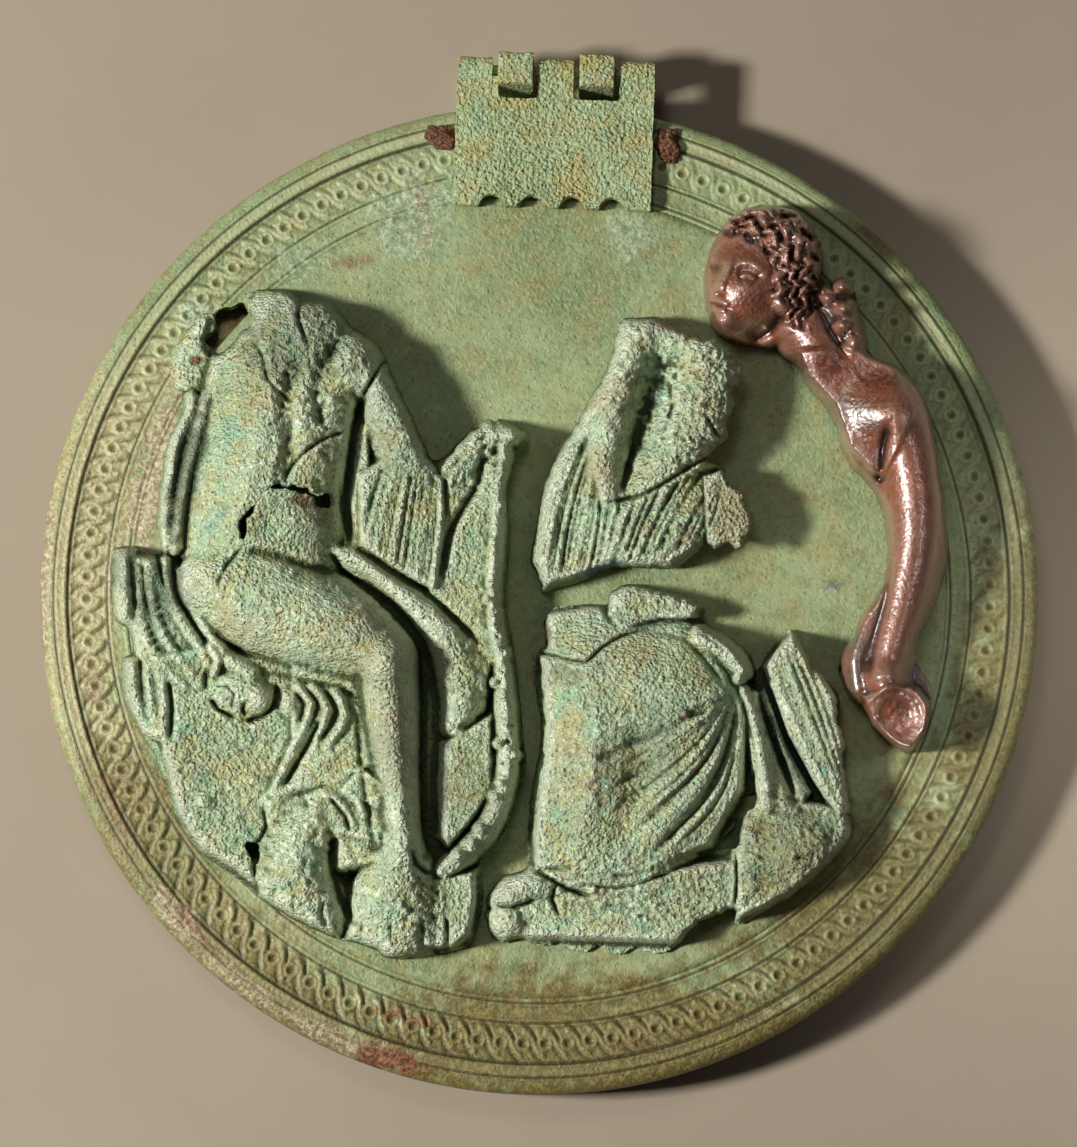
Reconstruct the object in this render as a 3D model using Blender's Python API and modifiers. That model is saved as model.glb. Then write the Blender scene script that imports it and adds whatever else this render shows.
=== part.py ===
"""Folding box mirror of cast and beaten bronze, lying closed on its back.

A turned mirror disc with a polished face lies below. A shallow cover with a turned rim folds over it
on a pinned hinge, and carries four hollow fragments of beaten high relief.

Metres, +Z up. The origin is the middle of the boss under the mirror disc, +Y runs towards the hinge.
"""

import math

import bmesh
import bpy
import numpy as np
from mathutils import Matrix, Vector
from mathutils.geometry import delaunay_2d_cdt

MM = 0.001
PART = "folding_box_mirror"

# Clearances
TOUCH_GAP = 0.3 * MM

# Mirror disc, the lower half
CASE_INSET = 0.3 * MM
CASE_STEPS = 36
FOOT_HEIGHT = 2.6 * MM
FOOT_WIDTH = 6.0 * MM
BOSS_RADIUS = 9.0 * MM
LEDGE_HEIGHT = 4.8 * MM
MIRROR_THICKNESS = 2.8 * MM
MIRROR_RECESS = 1.0 * MM
CASE_RIM_WIDTH = 1.2 * MM
CASE_RIM_HEIGHT = 1.9 * MM
CASE_RIM_TAPER = 0.5 * MM
CASE_RIM_CLEARANCE = 0.9 * MM
TURNED_RING_RADII = (20.0 * MM, 33.0 * MM, 46.0 * MM)
TURNED_RING_WIDTH = 2.4 * MM
TURNED_RING_DROP = 1.3 * MM

# Cover
COVER_RADIUS = 85.0 * MM
COVER_STEPS = 48
COVER_THICKNESS = 2.2 * MM
FLANGE_WIDTH = 2.6 * MM
COVER_TO_MIRROR = 3.8 * MM
RIM_ROUND = 2.4 * MM
FILLET_WIDTH = 2.6 * MM
FILLET_HEIGHT = 0.4 * MM
LINE_HEIGHT = 0.3 * MM
LINE_WIDTH = 1.2 * MM
ORNAMENT_WIDTH = 6.4 * MM
PLAIN_BAND_WIDTH = 3.4 * MM

# Hinge
HINGE_WIDTH = 34.2 * MM
HINGE_LENGTH = 24.2 * MM
COVER_PLATE_THICKNESS = 2.3 * MM
LOWER_PLATE_THICKNESS = 2.0 * MM
LOWER_PLATE_LIFT = 0.3 * MM
FOOT_TO_BRACKET = 1.8 * MM
KNUCKLE_COUNT = 5
KNUCKLE_GAP = 0.7 * MM
KNUCKLE_RADIUS = 2.4 * MM
KNUCKLE_RISE = 0.3 * MM
PIN_RADIUS = 1.0 * MM
PIN_STANDOFF = 5.0 * MM
LUG_LENGTH = 6.0 * MM
LUG_RISE = 3.3 * MM
LUG_ROUND = 1.0 * MM
SCALLOP_COUNT = 4
SCALLOP_RADIUS = 2.1 * MM

# Relief
SHEET = 1.1 * MM
SHEET_BASE = SHEET
RISE_UNIT = 1.0 * MM
EDGE_ROUND = 17.0
SOFTNESS = 6.0
INSIDE_COARSENESS = 1.9

# Heights worked out from the sizes above
LEDGE_TOP = FOOT_HEIGHT + LEDGE_HEIGHT
MIRROR_FACE = LEDGE_TOP - MIRROR_RECESS
MIRROR_BACK = MIRROR_FACE - MIRROR_THICKNESS
CASE_RIM_TOP = LEDGE_TOP + CASE_RIM_HEIGHT
COVER_UNDERSIDE = MIRROR_FACE + COVER_TO_MIRROR
COVER_TOP = COVER_UNDERSIDE + COVER_THICKNESS
FLANGE_BOTTOM = LEDGE_TOP + TOUCH_GAP
FLANGE_INSIDE = COVER_RADIUS - FLANGE_WIDTH
PLATE_BOTTOM = COVER_TOP + FILLET_HEIGHT + TOUCH_GAP
PLATE_TOP = PLATE_BOTTOM + COVER_PLATE_THICKNESS
RELIEF_BASE = COVER_TOP + LINE_HEIGHT + TOUCH_GAP
PIN_Y = COVER_RADIUS + PIN_STANDOFF
PIN_Z = PLATE_TOP - KNUCKLE_RADIUS + KNUCKLE_RISE
PLATE_INNER_Y = PIN_Y - HINGE_LENGTH
CASE_RADIUS = COVER_RADIUS - CASE_INSET
FOOT_RADIUS = PLATE_INNER_Y - FOOT_TO_BRACKET
KNUCKLE_WIDTH = (HINGE_WIDTH - (KNUCKLE_COUNT - 1) * KNUCKLE_GAP) / KNUCKLE_COUNT
BORE_RADIUS = PIN_RADIUS + TOUCH_GAP

# The relief is laid out on a drawing seen from just above the lower edge. Its points are in the
# drawing's own units: right and down from a corner, with the cover's centre and half axes given here.
DRAWING_CENTRE = (538.7, 598.1)
DRAWING_HALF_AXES = (501.0, 496.0)
DRAWING_TURN = math.radians(1.95)
EYE_DISTANCE = 900.0 * MM
EYE_TILT = math.radians(8.0)

BRONZE_GREEN = (0.20, 0.25, 0.13, 1.0)
BRONZE_OLIVE = (0.15, 0.15, 0.07, 1.0)
BRONZE_CLEANED = (0.13, 0.055, 0.04, 1.0)
BRONZE_BRIGHT = (0.42, 0.36, 0.20, 1.0)


def on_drawing(x, y):
    """Ground points, in metres from the cover's centre, of points on the drawing."""
    across = (np.asarray(x, float) - DRAWING_CENTRE[0]) / DRAWING_HALF_AXES[0] * COVER_RADIUS
    along = (DRAWING_CENTRE[1] - np.asarray(y, float)) / DRAWING_HALF_AXES[1] * COVER_RADIUS
    cos, sin = math.cos(DRAWING_TURN), math.sin(DRAWING_TURN)
    return across * cos - along * sin, across * sin + along * cos


def in_relief(x, y, rise):
    """Points of the relief seen at (x, y) on the drawing and raised by rise above the cover."""
    ground_x, ground_y = on_drawing(x, y)
    lean = EYE_DISTANCE * math.sin(EYE_TILT)
    eye_x, eye_y = lean * math.sin(DRAWING_TURN), -lean * math.cos(DRAWING_TURN)
    part_way = rise / (EYE_DISTANCE * math.cos(EYE_TILT))
    return (
        ground_x + (eye_x - ground_x) * part_way,
        ground_y + (eye_y - ground_y) * part_way,
        RELIEF_BASE + rise,
    )


def smooth_path(path, step, closed=False):
    """A curve through the path's points, with a point about every step. Further columns follow along."""
    path = [tuple(map(float, point)) for point in path]
    count = len(path)
    points = []
    for i in range(count if closed else count - 1):
        wanted = (i - 1, i, i + 1, i + 2)
        if closed:
            before, start, end, after = (np.array(path[k % count]) for k in wanted)
        else:
            before, start, end, after = (np.array(path[min(max(k, 0), count - 1)]) for k in wanted)
        pieces = max(1, round(math.dist(start[:2], end[:2]) / step))
        for piece in range(pieces):
            t = piece / pieces
            bend = (2 * before - 5 * start + 4 * end - after) * t * t
            bend = bend + (3 * start - before - 3 * end + after) * t**3
            points.append(start + 0.5 * ((end - before) * t + bend))
    if not closed:
        points.append(np.array(path[-1]))
    return np.array(points)


def along_segments(x, y, path, closed=False):
    """Yields, for each segment of a path, the distance to it and the share of the way along it."""
    ends = list(zip(path, path[1:]))
    if closed:
        ends.append((path[-1], path[0]))
    for start, end in ends:
        run = end[:2] - start[:2]
        length = max(float(run @ run), 1e-9)
        share = np.clip(((x - start[0]) * run[0] + (y - start[1]) * run[1]) / length, 0.0, 1.0)
        gap = np.hypot(x - start[0] - share * run[0], y - start[1] - share * run[1])
        yield start, end, share, gap


class Limb:
    """A rounded form along a path of (x, y, half width, height in mm)."""

    def __init__(self, *path):
        self.path = smooth_path(path, 25.0)

    def rise(self, x, y):
        best = np.zeros_like(x)
        for start, end, share, gap in along_segments(x, y, self.path):
            width = start[2] + (end[2] - start[2]) * share
            height = start[3] + (end[3] - start[3]) * share
            best = np.maximum(best, height * np.sqrt(np.clip(1.0 - (gap / width) ** 2, 0.0, 1.0)))
        return best

    def marks(self, step):
        return smooth_path(self.path[:, :2], step)


class Mass:
    """An oval dome: centre, half sizes, turn in degrees and height in mm."""

    def __init__(self, x, y, half_x, half_y, turn, height):
        self.centre = (x, y)
        self.half = (half_x, half_y)
        self.turn = math.radians(turn)
        self.height = height

    def rise(self, x, y):
        dx, dy = x - self.centre[0], y - self.centre[1]
        cos, sin = math.cos(self.turn), math.sin(self.turn)
        u = (dx * cos + dy * sin) / self.half[0]
        v = (dy * cos - dx * sin) / self.half[1]
        return self.height * np.sqrt(np.clip(1.0 - u * u - v * v, 0.0, 1.0))

    def marks(self, step):
        return np.array([self.centre])


class Slab:
    """A flat form with soft edges: its corners and its height in mm."""

    def __init__(self, height, soft, *corners):
        self.height = height
        self.soft = soft
        self.corners = np.array(corners, float)

    def rise(self, x, y):
        gap = np.full_like(x, 1e9)
        for _start, _end, _share, distance in along_segments(x, y, self.corners, closed=True):
            gap = np.minimum(gap, distance)
        depth = np.clip(gap / self.soft, 0.0, 1.0) * inside(x, y, self.corners)
        return self.height * depth * depth * (3.0 - 2.0 * depth)

    def marks(self, step):
        return np.empty((0, 2))


class Crease:
    """A groove along a path, or a ridge where its depth in mm is negative."""

    def __init__(self, width, depth, *path):
        self.width = width
        self.depth = depth
        self.path = smooth_path(path, 20.0)

    def cut(self, x, y):
        deepest = np.zeros_like(x)
        last = len(self.path) - 1
        for i, (_start, _end, share, gap) in enumerate(along_segments(x, y, self.path)):
            along = (i + share) / last
            strength = np.clip(np.minimum(along, 1.0 - along) * 5.0 + 0.25, 0.0, 1.0)
            deepest = np.maximum(deepest, strength * np.exp(-((gap / self.width) ** 2)))
        return self.depth * deepest

    def marks(self, step):
        return smooth_path(self.path, step)


def pleats(count, width, depth, first, last):
    """Grooves spread evenly from one path to another, which has as many points, and guides along the crests."""
    first, last = np.array(first, float), np.array(last, float)
    spread = [(i / (count - 1), depth) for i in range(count)]
    spread += [((i + 0.5) / (count - 1), 0.0) for i in range(count - 1)]
    return [Crease(width, each, *(first + (last - first) * share)) for share, each in spread]


def inside(x, y, corners):
    """Whether points lie inside a closed outline."""
    odd = np.zeros(np.shape(x), bool)
    for (x1, y1), (x2, y2) in zip(corners, np.roll(corners, -1, axis=0)):
        crosses = (y1 > y) != (y2 > y)
        rise = y2 - y1 if y2 != y1 else 1e-9
        odd ^= crosses & (x < (x2 - x1) * (y - y1) / rise + x1)
    return odd


class Relief:
    """A hollow fragment of beaten sheet: its outline, its holes, its forms and its creases.

    An outline point may have a third number, the share of the height that a torn edge keeps there.
    """

    def __init__(self, step, outline, holes, forms, creases):
        self.step = step
        rows = [point if len(point) == 3 else (*point, 0.0) for point in outline]
        self.outline = smooth_path(rows, step, closed=True)
        self.holes = [smooth_path(hole, step, closed=True) for hole in holes]
        self.forms = forms
        self.creases = creases

    def rise(self, x, y):
        """The height of the sheet's upper face above the cover, in metres."""
        x, y = np.asarray(x, float), np.asarray(y, float)
        total = np.zeros_like(x)
        for form in self.forms:
            total += form.rise(x, y) ** SOFTNESS
        total = total ** (1.0 / SOFTNESS)
        for crease in self.creases:
            total = total - crease.cut(x, y)
        total = total * RISE_UNIT
        nearest = np.full_like(x, 1e9)
        kept = np.zeros_like(x)
        for start, end, share, gap in along_segments(x, y, self.outline, closed=True):
            torn = start[2] + (end[2] - start[2]) * share
            kept = np.where(gap < nearest, torn, kept)
            nearest = np.minimum(nearest, gap)
        slope = np.sqrt(1.0 - (1.0 - np.clip(nearest / EDGE_ROUND, 0.0, 1.0)) ** 2)
        total = total * (kept + (1.0 - kept) * slope)
        return np.maximum(total, SHEET_BASE)

    def underside(self, x, y, reach):
        """The height of the hollow face: a sheet's thickness below the lowest upper face near by."""
        lowest = self.rise(x, y)
        for turn in np.arange(8) * math.pi / 4.0:
            around = self.rise(x + reach * math.cos(turn), y + reach * math.sin(turn))
            lowest = np.minimum(lowest, around)
        return np.maximum(lowest - SHEET, 0.0)

    def scatter(self, step, marks):
        """Points inside the outline: the marks first, then an even grid around them."""
        low, high = self.outline[:, :2].min(axis=0), self.outline[:, :2].max(axis=0)
        rows = np.arange(low[1], high[1], step * math.sqrt(0.75))
        grid = [
            (x + (row % 2) * step / 2.0, y)
            for row, y in enumerate(rows)
            for x in np.arange(low[0], high[0], step)
        ]
        edges = np.vstack([self.outline[:, :2], *self.holes])
        chosen = []
        for point, least in [(p, 0.55) for p in marks] + [(p, 0.7) for p in grid]:
            near = np.vstack([edges, *chosen]) if chosen else edges
            if np.hypot(*(near - point).T).min() > least * step:
                chosen.append(np.array([point], float))
        points = np.vstack(chosen)
        keep = inside(points[:, 0], points[:, 1], self.outline[:, :2])
        for hole in self.holes:
            keep &= ~inside(points[:, 0], points[:, 1], hole)
        return points[keep]

    def sheet(self, points):
        """Triangles over the outline's and holes' points, in order, followed by the points inside."""
        loops = [self.outline[:, :2], *self.holes]
        edges, start = [], 0
        for loop in loops:
            edges += [(start + i, start + (i + 1) % len(loop)) for i in range(len(loop))]
            start += len(loop)
        everything = np.vstack([*loops, points])
        result = delaunay_2d_cdt([Vector(p) for p in everything], edges, [], 0, 1e-6)
        first_of = [group[0] for group in result[3]]
        corners = np.array([[first_of[i] for i in face] for face in result[2]])
        middle = everything[corners].mean(axis=1)
        keep = inside(middle[:, 0], middle[:, 1], loops[0])
        for hole in self.holes:
            keep &= ~inside(middle[:, 0], middle[:, 1], hole)
        return everything, corners[keep], edges


def relief_mesh(name, relief):
    """The closed mesh of a hollow relief fragment: its face, its hollow back and its edges."""
    fine = [p for shape in (*relief.creases, *relief.forms) for p in shape.marks(relief.step)]
    upper, upper_faces, edges = relief.sheet(relief.scatter(relief.step, fine))
    coarse = relief.step * INSIDE_COARSENESS
    lower, lower_faces, _edges = relief.sheet(relief.scatter(coarse, []))
    rim = len(edges)
    top = relief.rise(upper[:, 0], upper[:, 1])
    bottom = relief.underside(lower[:, 0], lower[:, 1], 0.6 * coarse)
    bottom[:rim] = np.maximum(top[:rim] - SHEET, 0.0)
    mesh = bmesh.new()
    top_verts = [mesh.verts.new(p) for p in zip(*in_relief(*upper.T, top))]
    bottom_verts = [mesh.verts.new(p) for p in zip(*in_relief(*lower.T, bottom))]
    for a, b, c in upper_faces:
        mesh.faces.new((top_verts[a], top_verts[b], top_verts[c]))
    for a, b, c in lower_faces:
        mesh.faces.new((bottom_verts[a], bottom_verts[c], bottom_verts[b]))
    for a, b in edges:
        mesh.faces.new((top_verts[a], top_verts[b], bottom_verts[b], bottom_verts[a]))
    bmesh.ops.recalc_face_normals(mesh, faces=mesh.faces[:])
    data = bpy.data.meshes.new(name)
    mesh.to_mesh(data)
    mesh.free()
    return data


def seated_figure():
    """The seated figure on a rock with a lion's skin, a cloth and a knotted club."""
    outline = [
        (245, 286, 0.5), (288, 279, 0.4), (330, 291, 0.3), (352, 318), (385, 347), (403, 388), (427, 444),
        (437, 457), (459, 436), (491, 413), (525, 427), (513, 468), (509, 535), (504, 600), (514, 655),
        (524, 720), (523, 775), (513, 822), (485, 862), (478, 900), (475, 951), (439, 969), (391, 974),
        (332, 951), (292, 932), (257, 909), (200, 863), (176, 825), (162, 780), (140, 738), (124, 700),
        (122, 664), (134, 652), (128, 632), (113, 613), (112, 556), (119, 508), (128, 469), (142, 422),
        (166, 380), (170, 358), (180, 335), (197, 317), (213, 302), (214, 318), (202, 328), (207, 341),
        (220, 346, 0.5), (238, 326, 0.6), (251, 310, 0.6),
    ]
    holes = [
        [(163, 436), (165, 462), (158, 495), (159, 530), (148, 530), (150, 490)],
        [(271, 483), (300, 481), (332, 494), (331, 504), (316, 500), (293, 488)],
        [(257, 501), (247, 522), (242, 540), (239, 520)],
    ]
    forms = [
        Mass(302, 372, 82, 88, -12, 16.0),
        Mass(270, 468, 84, 92, 8, 16.5),
        Mass(352, 368, 42, 44, 20, 15.5),
        Mass(300, 312, 56, 38, 8, 12.5),
        Limb((262, 330, 40, 11), (232, 420, 50, 14), (222, 520, 50, 14), (228, 590, 50, 14)),
        Limb((372, 362, 27, 14), (390, 412, 28, 12.5), (404, 455, 27, 11)),
        Limb((404, 455, 34, 10.5), (402, 510, 38, 9.5), (428, 578, 24, 7.5)),
        Limb((440, 500, 26, 7.5), (468, 456, 24, 8), (500, 428, 22, 7.5)),
        Slab(5.0, 8.0, (436, 520), (470, 450), (500, 440), (496, 640), (470, 640), (440, 595)),
        Limb((512, 436, 13, 8), (500, 500, 12, 9), (494, 560, 12, 9), (492, 615, 12, 9), (500, 665, 13, 9),
             (508, 715, 14, 9.5), (508, 765, 15, 9.5), (500, 806, 16, 9.5), (478, 844, 16, 9), (448, 878, 16, 8)),
        Slab(4.5, 8.0, (456, 735), (498, 715), (492, 800), (465, 832), (438, 862), (436, 800)),
        Limb((350, 551, 12, 8), (383, 579, 14, 9.5), (419, 607, 16, 10), (443, 635, 19, 10),
             (455, 668, 22, 9.5), (456, 700, 24, 9), (450, 730, 20, 7.5)),
        Limb((222, 600, 50, 14), (280, 612, 60, 16), (335, 632, 62, 18), (385, 662, 44, 18.5)),
        Limb((386, 664, 42, 18.5), (390, 720, 31, 16), (393, 770, 27, 14.5), (397, 820, 24, 13), (402, 862, 28, 12)),
        Limb((400, 862, 32, 12), (394, 905, 50, 10.5), (400, 940, 52, 9)),
        Slab(6.5, 14.0, (430, 880), (482, 872), (476, 955), (440, 972), (380, 976), (400, 900)),
        Limb((336, 800, 20, 8), (316, 838, 32, 10), (302, 888, 42, 10), (318, 928, 40, 8.5)),
        Mass(246, 690, 46, 36, -14, 10.0),
        Mass(212, 662, 14, 18, 10, 10.0),
        Limb((165, 580, 30, 7), (188, 632, 36, 8), (215, 665, 34, 9)),
        Limb((127, 560, 16, 7), (127, 592, 16, 7), (125, 616, 13, 6)),
        Limb((133, 670, 13, 6), (142, 702, 16, 6.5), (154, 738, 16, 6)),
        Slab(5.5, 12.0, (150, 640), (250, 700), (360, 700), (370, 880), (260, 912), (196, 862), (160, 790)),
        Limb((306, 728, 10, 8), (284, 776, 11, 8), (262, 812, 8, 6.5)),
        Slab(3.6, 6.0, (184, 386), (214, 380), (206, 440), (190, 500), (184, 560), (164, 545), (156, 500), (168, 440)),
    ]
    creases = [
        Crease(6, 8.0, (350, 368), (352, 420), (348, 480), (344, 540)),
        Crease(7, 9.0, (352, 566), (398, 612), (427, 664), (431, 730), (432, 800), (434, 868)),
        Crease(6, 3.5, (250, 546), (290, 556), (340, 576)),
        Crease(4, 3.0, (228, 300), (262, 350), (300, 455), (285, 478)),
        Crease(5, 5.0, (336, 846), (333, 880), (342, 914), (350, 928)),
        Crease(5, 3.5, (356, 708), (310, 762), (262, 808)),
        Crease(5, 4.0, (500, 446), (468, 520), (444, 590)),
        Crease(6, 4.5, (160, 556), (168, 600), (152, 660), (172, 700), (172, 742)),
        Crease(5, 3.5, (190, 606), (232, 652), (290, 686), (336, 694)),
        Crease(4, 2.0, (302, 700), (318, 712), (322, 740), (306, 758)),
        Crease(4, 2.0, (322, 700), (338, 716), (338, 752), (320, 774)),
        Crease(4, 2.0, (228, 692), (244, 700), (262, 694)),
        *pleats(5, 4.5, 1.6, [(382, 440), (370, 500), (384, 556)], [(434, 476), (420, 530), (430, 590)]),
        *pleats(4, 4.5, 1.5, [(132, 574), (160, 640), (205, 690)], [(176, 572), (196, 620), (214, 650)]),
        *pleats(3, 4.0, 1.8, [(322, 794), (346, 822)], [(350, 784), (366, 806)]),
    ]
    return Relief(16.8, outline, holes, forms, creases)


def torso_fragment():
    """The upper fragment of the second figure: bust, bent arm and the gathered dress."""
    outline = [
        (621, 311, 0.4), (646, 306, 0.4), (671, 313, 0.5), (718, 332, 0.7), (741, 350, 0.8), (742, 366, 0.8),
        (731, 388, 0.8), (734, 397, 0.8), (728, 428, 0.7), (706, 452, 0.6), (722, 466, 0.8), (743, 488, 0.9),
        (752, 517, 0.9), (743, 547, 0.8), (726, 542, 0.7), (701, 540, 0.5), (676, 566, 0.3), (646, 569),
        (617, 566), (594, 573), (576, 584), (543, 592), (531, 557), (537, 530), (543, 490), (556, 452),
        (577, 416), (600, 374), (612, 340),
    ]
    forms = [
        Limb((652, 326, 24, 10), (620, 388, 36, 12), (604, 446, 34, 12), (612, 486, 28, 10)),
        Limb((700, 350, 44, 12), (694, 400, 46, 13.5), (672, 448, 42, 13), (648, 484, 28, 11)),
        Slab(7.5, 16.0, (548, 450), (600, 470), (640, 488), (716, 452), (760, 500), (750, 556), (676, 580),
             (594, 588), (536, 606), (520, 550)),
        Slab(6.0, 10.0, (612, 330), (660, 300), (750, 340), (740, 440), (640, 480), (600, 420)),
    ]
    creases = [
        Crease(7, 6.0, (662, 352), (650, 400), (638, 446), (632, 476)),
        Crease(5, 3.0, (735, 440), (690, 470), (640, 496), (600, 500)),
        *pleats(3, 6.0, 2.2, [(572, 450), (556, 510), (548, 576)], [(602, 492), (602, 530), (598, 562)]),
        *pleats(3, 6.0, 1.8, [(646, 506), (640, 536), (632, 558)], [(708, 472), (702, 504), (692, 534)]),
    ]
    return Relief(12.8, outline, [], forms, creases)


def drapery_fragment():
    """The lower fragment of the second figure: the draped legs, a flying end of cloth and the rock."""
    outline = [
        (534, 655), (546, 651), (547, 612), (564, 605), (606, 604), (614, 590), (637, 584), (660, 592),
        (693, 598), (702, 618), (727, 634), (749, 653), (757, 674, 0.3), (774, 651, 0.6), (790, 634, 0.7),
        (805, 641, 0.8), (817, 672, 0.8), (836, 698, 0.8), (838, 722, 0.8), (845, 748, 0.8), (842, 782, 0.8),
        (850, 807, 0.7), (852, 843, 0.3), (825, 883), (789, 914), (737, 937), (733, 921), (716, 927),
        (690, 942), (676, 962), (620, 967), (587, 961), (550, 958), (502, 957), (487, 939), (487, 911),
        (502, 884), (524, 877), (530, 827), (539, 756), (536, 706),
    ]
    holes = [[(751, 800), (754, 812), (737, 841), (734, 860), (718, 857), (736, 826)]]
    forms = [
        Limb((604, 632, 54, 13), (594, 700, 58, 14.5), (576, 780, 52, 13), (562, 862, 46, 11)),
        Mass(664, 690, 92, 88, 20, 14.5),
        Limb((690, 700, 60, 13), (640, 800, 64, 11.5), (610, 880, 60, 9.5)),
        Slab(8.0, 18.0, (534, 640), (740, 640), (762, 700), (748, 860), (700, 910), (530, 890)),
        Limb((726, 640, 18, 12), (744, 664, 19, 13), (746, 690, 15, 12)),
        Limb((758, 690, 16, 9), (764, 750, 18, 8), (768, 812, 16, 8)),
        Limb((788, 656, 28, 7.5), (806, 700, 34, 8.5), (822, 762, 30, 8), (842, 826, 20, 6.5)),
        Mass(792, 866, 66, 64, -20, 10.0),
        Slab(7.0, 12.0, (482, 910), (520, 872), (740, 860), (742, 930), (680, 966), (560, 962), (500, 962)),
        Limb((560, 884, 28, 9), (524, 900, 30, 9), (506, 930, 26, 8)),
        Limb((560, 622, 22, 9), (640, 600, 20, 9), (690, 612, 18, 8)),
    ]
    creases = [
        *pleats(4, 7.5, 2.8, [(724, 700), (690, 722), (640, 758), (572, 806)],
                [(744, 716), (736, 772), (708, 832), (640, 886)]),
        *pleats(3, 6.0, 2.0, [(778, 672), (800, 732), (836, 808)], [(806, 664), (832, 726), (846, 796)]),
        *pleats(2, 7.0, 1.8, [(558, 700), (552, 780), (546, 860)], [(590, 720), (584, 800), (578, 866)]),
        Crease(6, 6.5, (762, 684), (784, 752), (802, 796), (836, 834)),
        Crease(4, 3.0, (734, 864), (734, 890), (734, 918)),
        Crease(5, 3.0, (498, 882), (560, 902), (640, 908), (720, 880)),
        Crease(4, 2.4, (540, 652), (576, 664), (600, 650), (640, 622), (700, 620)),
    ]
    return Relief(13.2, outline, holes, forms, creases)


# The head on the cleaned fragment: its middle, half sizes and tilt on the drawing
HEAD_CENTRE = (762.0, 262.0)
HEAD_HALF_WIDTH = 57.0
HEAD_HALF_HEIGHT = 73.0
HEAD_TILT = math.radians(14.0)


def on_head(across, down):
    """A point on the head, by shares of its half width to the right and of its half height down."""
    right, below = across * HEAD_HALF_WIDTH, down * HEAD_HALF_HEIGHT
    cos, sin = math.cos(HEAD_TILT), math.sin(HEAD_TILT)
    return HEAD_CENTRE[0] + right * cos - below * sin, HEAD_CENTRE[1] + right * sin + below * cos


def on_head_path(*shares):
    """The points on the head for a path of shares."""
    return [on_head(*share) for share in shares]


def head_and_arm():
    """The cleaned fragment: a head bent to the left, the neck and shoulder and the hanging arm."""
    outline = [
        *on_head_path((-0.98, -0.20), (-0.86, -0.58), (-0.56, -0.87), (-0.12, -1.0), (0.36, -0.96),
                      (0.76, -0.70), (0.97, -0.30), (1.0, 0.0)),
        (842, 264), (855, 277), (861, 305), (868, 328), (872, 348), (891, 355), (908, 367), (920, 384),
        (931, 410), (938, 460), (946, 505), (948, 551), (943, 582), (930, 615), (918, 645), (918, 665),
        (931, 694), (931, 721), (920, 751), (908, 764), (896, 755), (863, 717, 0.4), (845, 694, 0.4),
        (837, 670, 0.4), (851, 643, 0.4), (864, 612, 0.4), (882, 586, 0.4), (890, 560, 0.4), (886, 518, 0.4),
        (874, 482, 0.4), (850, 458, 0.5), (838, 430, 0.6), (828, 402, 0.7), (806, 370, 0.7), (790, 350, 0.6),
        *on_head_path((0.25, 0.99), (-0.05, 1.0), (-0.38, 0.92), (-0.68, 0.72), (-0.90, 0.40), (-0.99, 0.08)),
    ]
    forms = [
        Mass(*on_head(0.0, -0.08), 60, 68, 14, 14.5),
        Mass(*on_head(-0.30, 0.30), 40, 52, 14, 14.0),
        Limb((*on_head(-0.6, -0.5), 26, 13), (*on_head(0.2, -0.62), 34, 15), (*on_head(0.7, -0.1), 30, 13.5)),
        Limb((788, 300, 38, 11), (822, 348, 40, 11), (856, 388, 44, 12)),
        Limb((834, 276, 17, 11), (848, 306, 18, 11), (860, 336, 14, 10)),
        Mass(886, 402, 54, 52, 30, 14.0),
        Slab(8.0, 12.0, (800, 350), (860, 350), (900, 420), (892, 560), (872, 500), (836, 460), (816, 400)),
        Limb((902, 408, 36, 14), (914, 470, 33, 13), (918, 530, 31, 12.5), (908, 590, 29, 11.5),
             (892, 648, 26, 11), (880, 684, 26, 10.5)),
        Limb((878, 680, 30, 10.5), (868, 700, 30, 10)),
        Limb((884, 694, 26, 9.5), (908, 728, 28, 9), (908, 748, 20, 8)),
    ]
    creases = [
        Crease(5, 3.0, (884, 446), (882, 500), (890, 548)),
        Crease(5, 2.4, *on_head_path((-0.88, -0.34), (-0.35, -0.34), (0.18, -0.16), (0.46, 0.22), (0.50, 0.62))),
        Crease(5, 1.6, *on_head_path((-0.80, 0.04), (-0.55, 0.0), (-0.32, 0.05))),
        Crease(4, 1.2, *on_head_path((-0.66, 0.66), (-0.45, 0.64), (-0.26, 0.66))),
        Crease(6, 3.0, *on_head_path((0.16, 0.94), (0.50, 0.72), (0.74, 0.44))),
        Crease(9, 3.0, (892, 710), (904, 728), (910, 742)),
        *pleats(3, 5.0, 1.6, on_head_path((-0.70, -0.50), (0.0, -0.56), (0.56, -0.2)),
                on_head_path((-0.30, -0.84), (0.30, -0.74), (0.80, -0.26))),
        *pleats(3, 4.0, 1.4, [(826, 274), (840, 306), (852, 338)], [(846, 270), (858, 304), (866, 334)]),
    ]
    return Relief(12.6, outline, [], forms, creases)


RELIEFS = {
    "relief_seated_figure": (seated_figure, "patina_green"),
    "relief_torso_fragment": (torso_fragment, "patina_green"),
    "relief_drapery_fragment": (drapery_fragment, "patina_green"),
    "relief_head_and_arm": (head_and_arm, "cleaned_bronze"),
}

# The tear through the cover's sheet beside the seated figure's shoulder, on the drawing
COVER_TEAR = [(215, 303), (243, 291), (249, 309), (236, 325), (220, 341), (209, 337), (205, 328), (216, 318)]


def clear_scene():
    """Removes every object and empties the data left behind."""
    for obj in list(bpy.data.objects):
        bpy.data.objects.remove(obj, do_unlink=True)


def new_collection(name):
    """A collection under the scene's own."""
    collection = bpy.data.collections.new(name)
    bpy.context.scene.collection.children.link(collection)
    return collection


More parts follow.
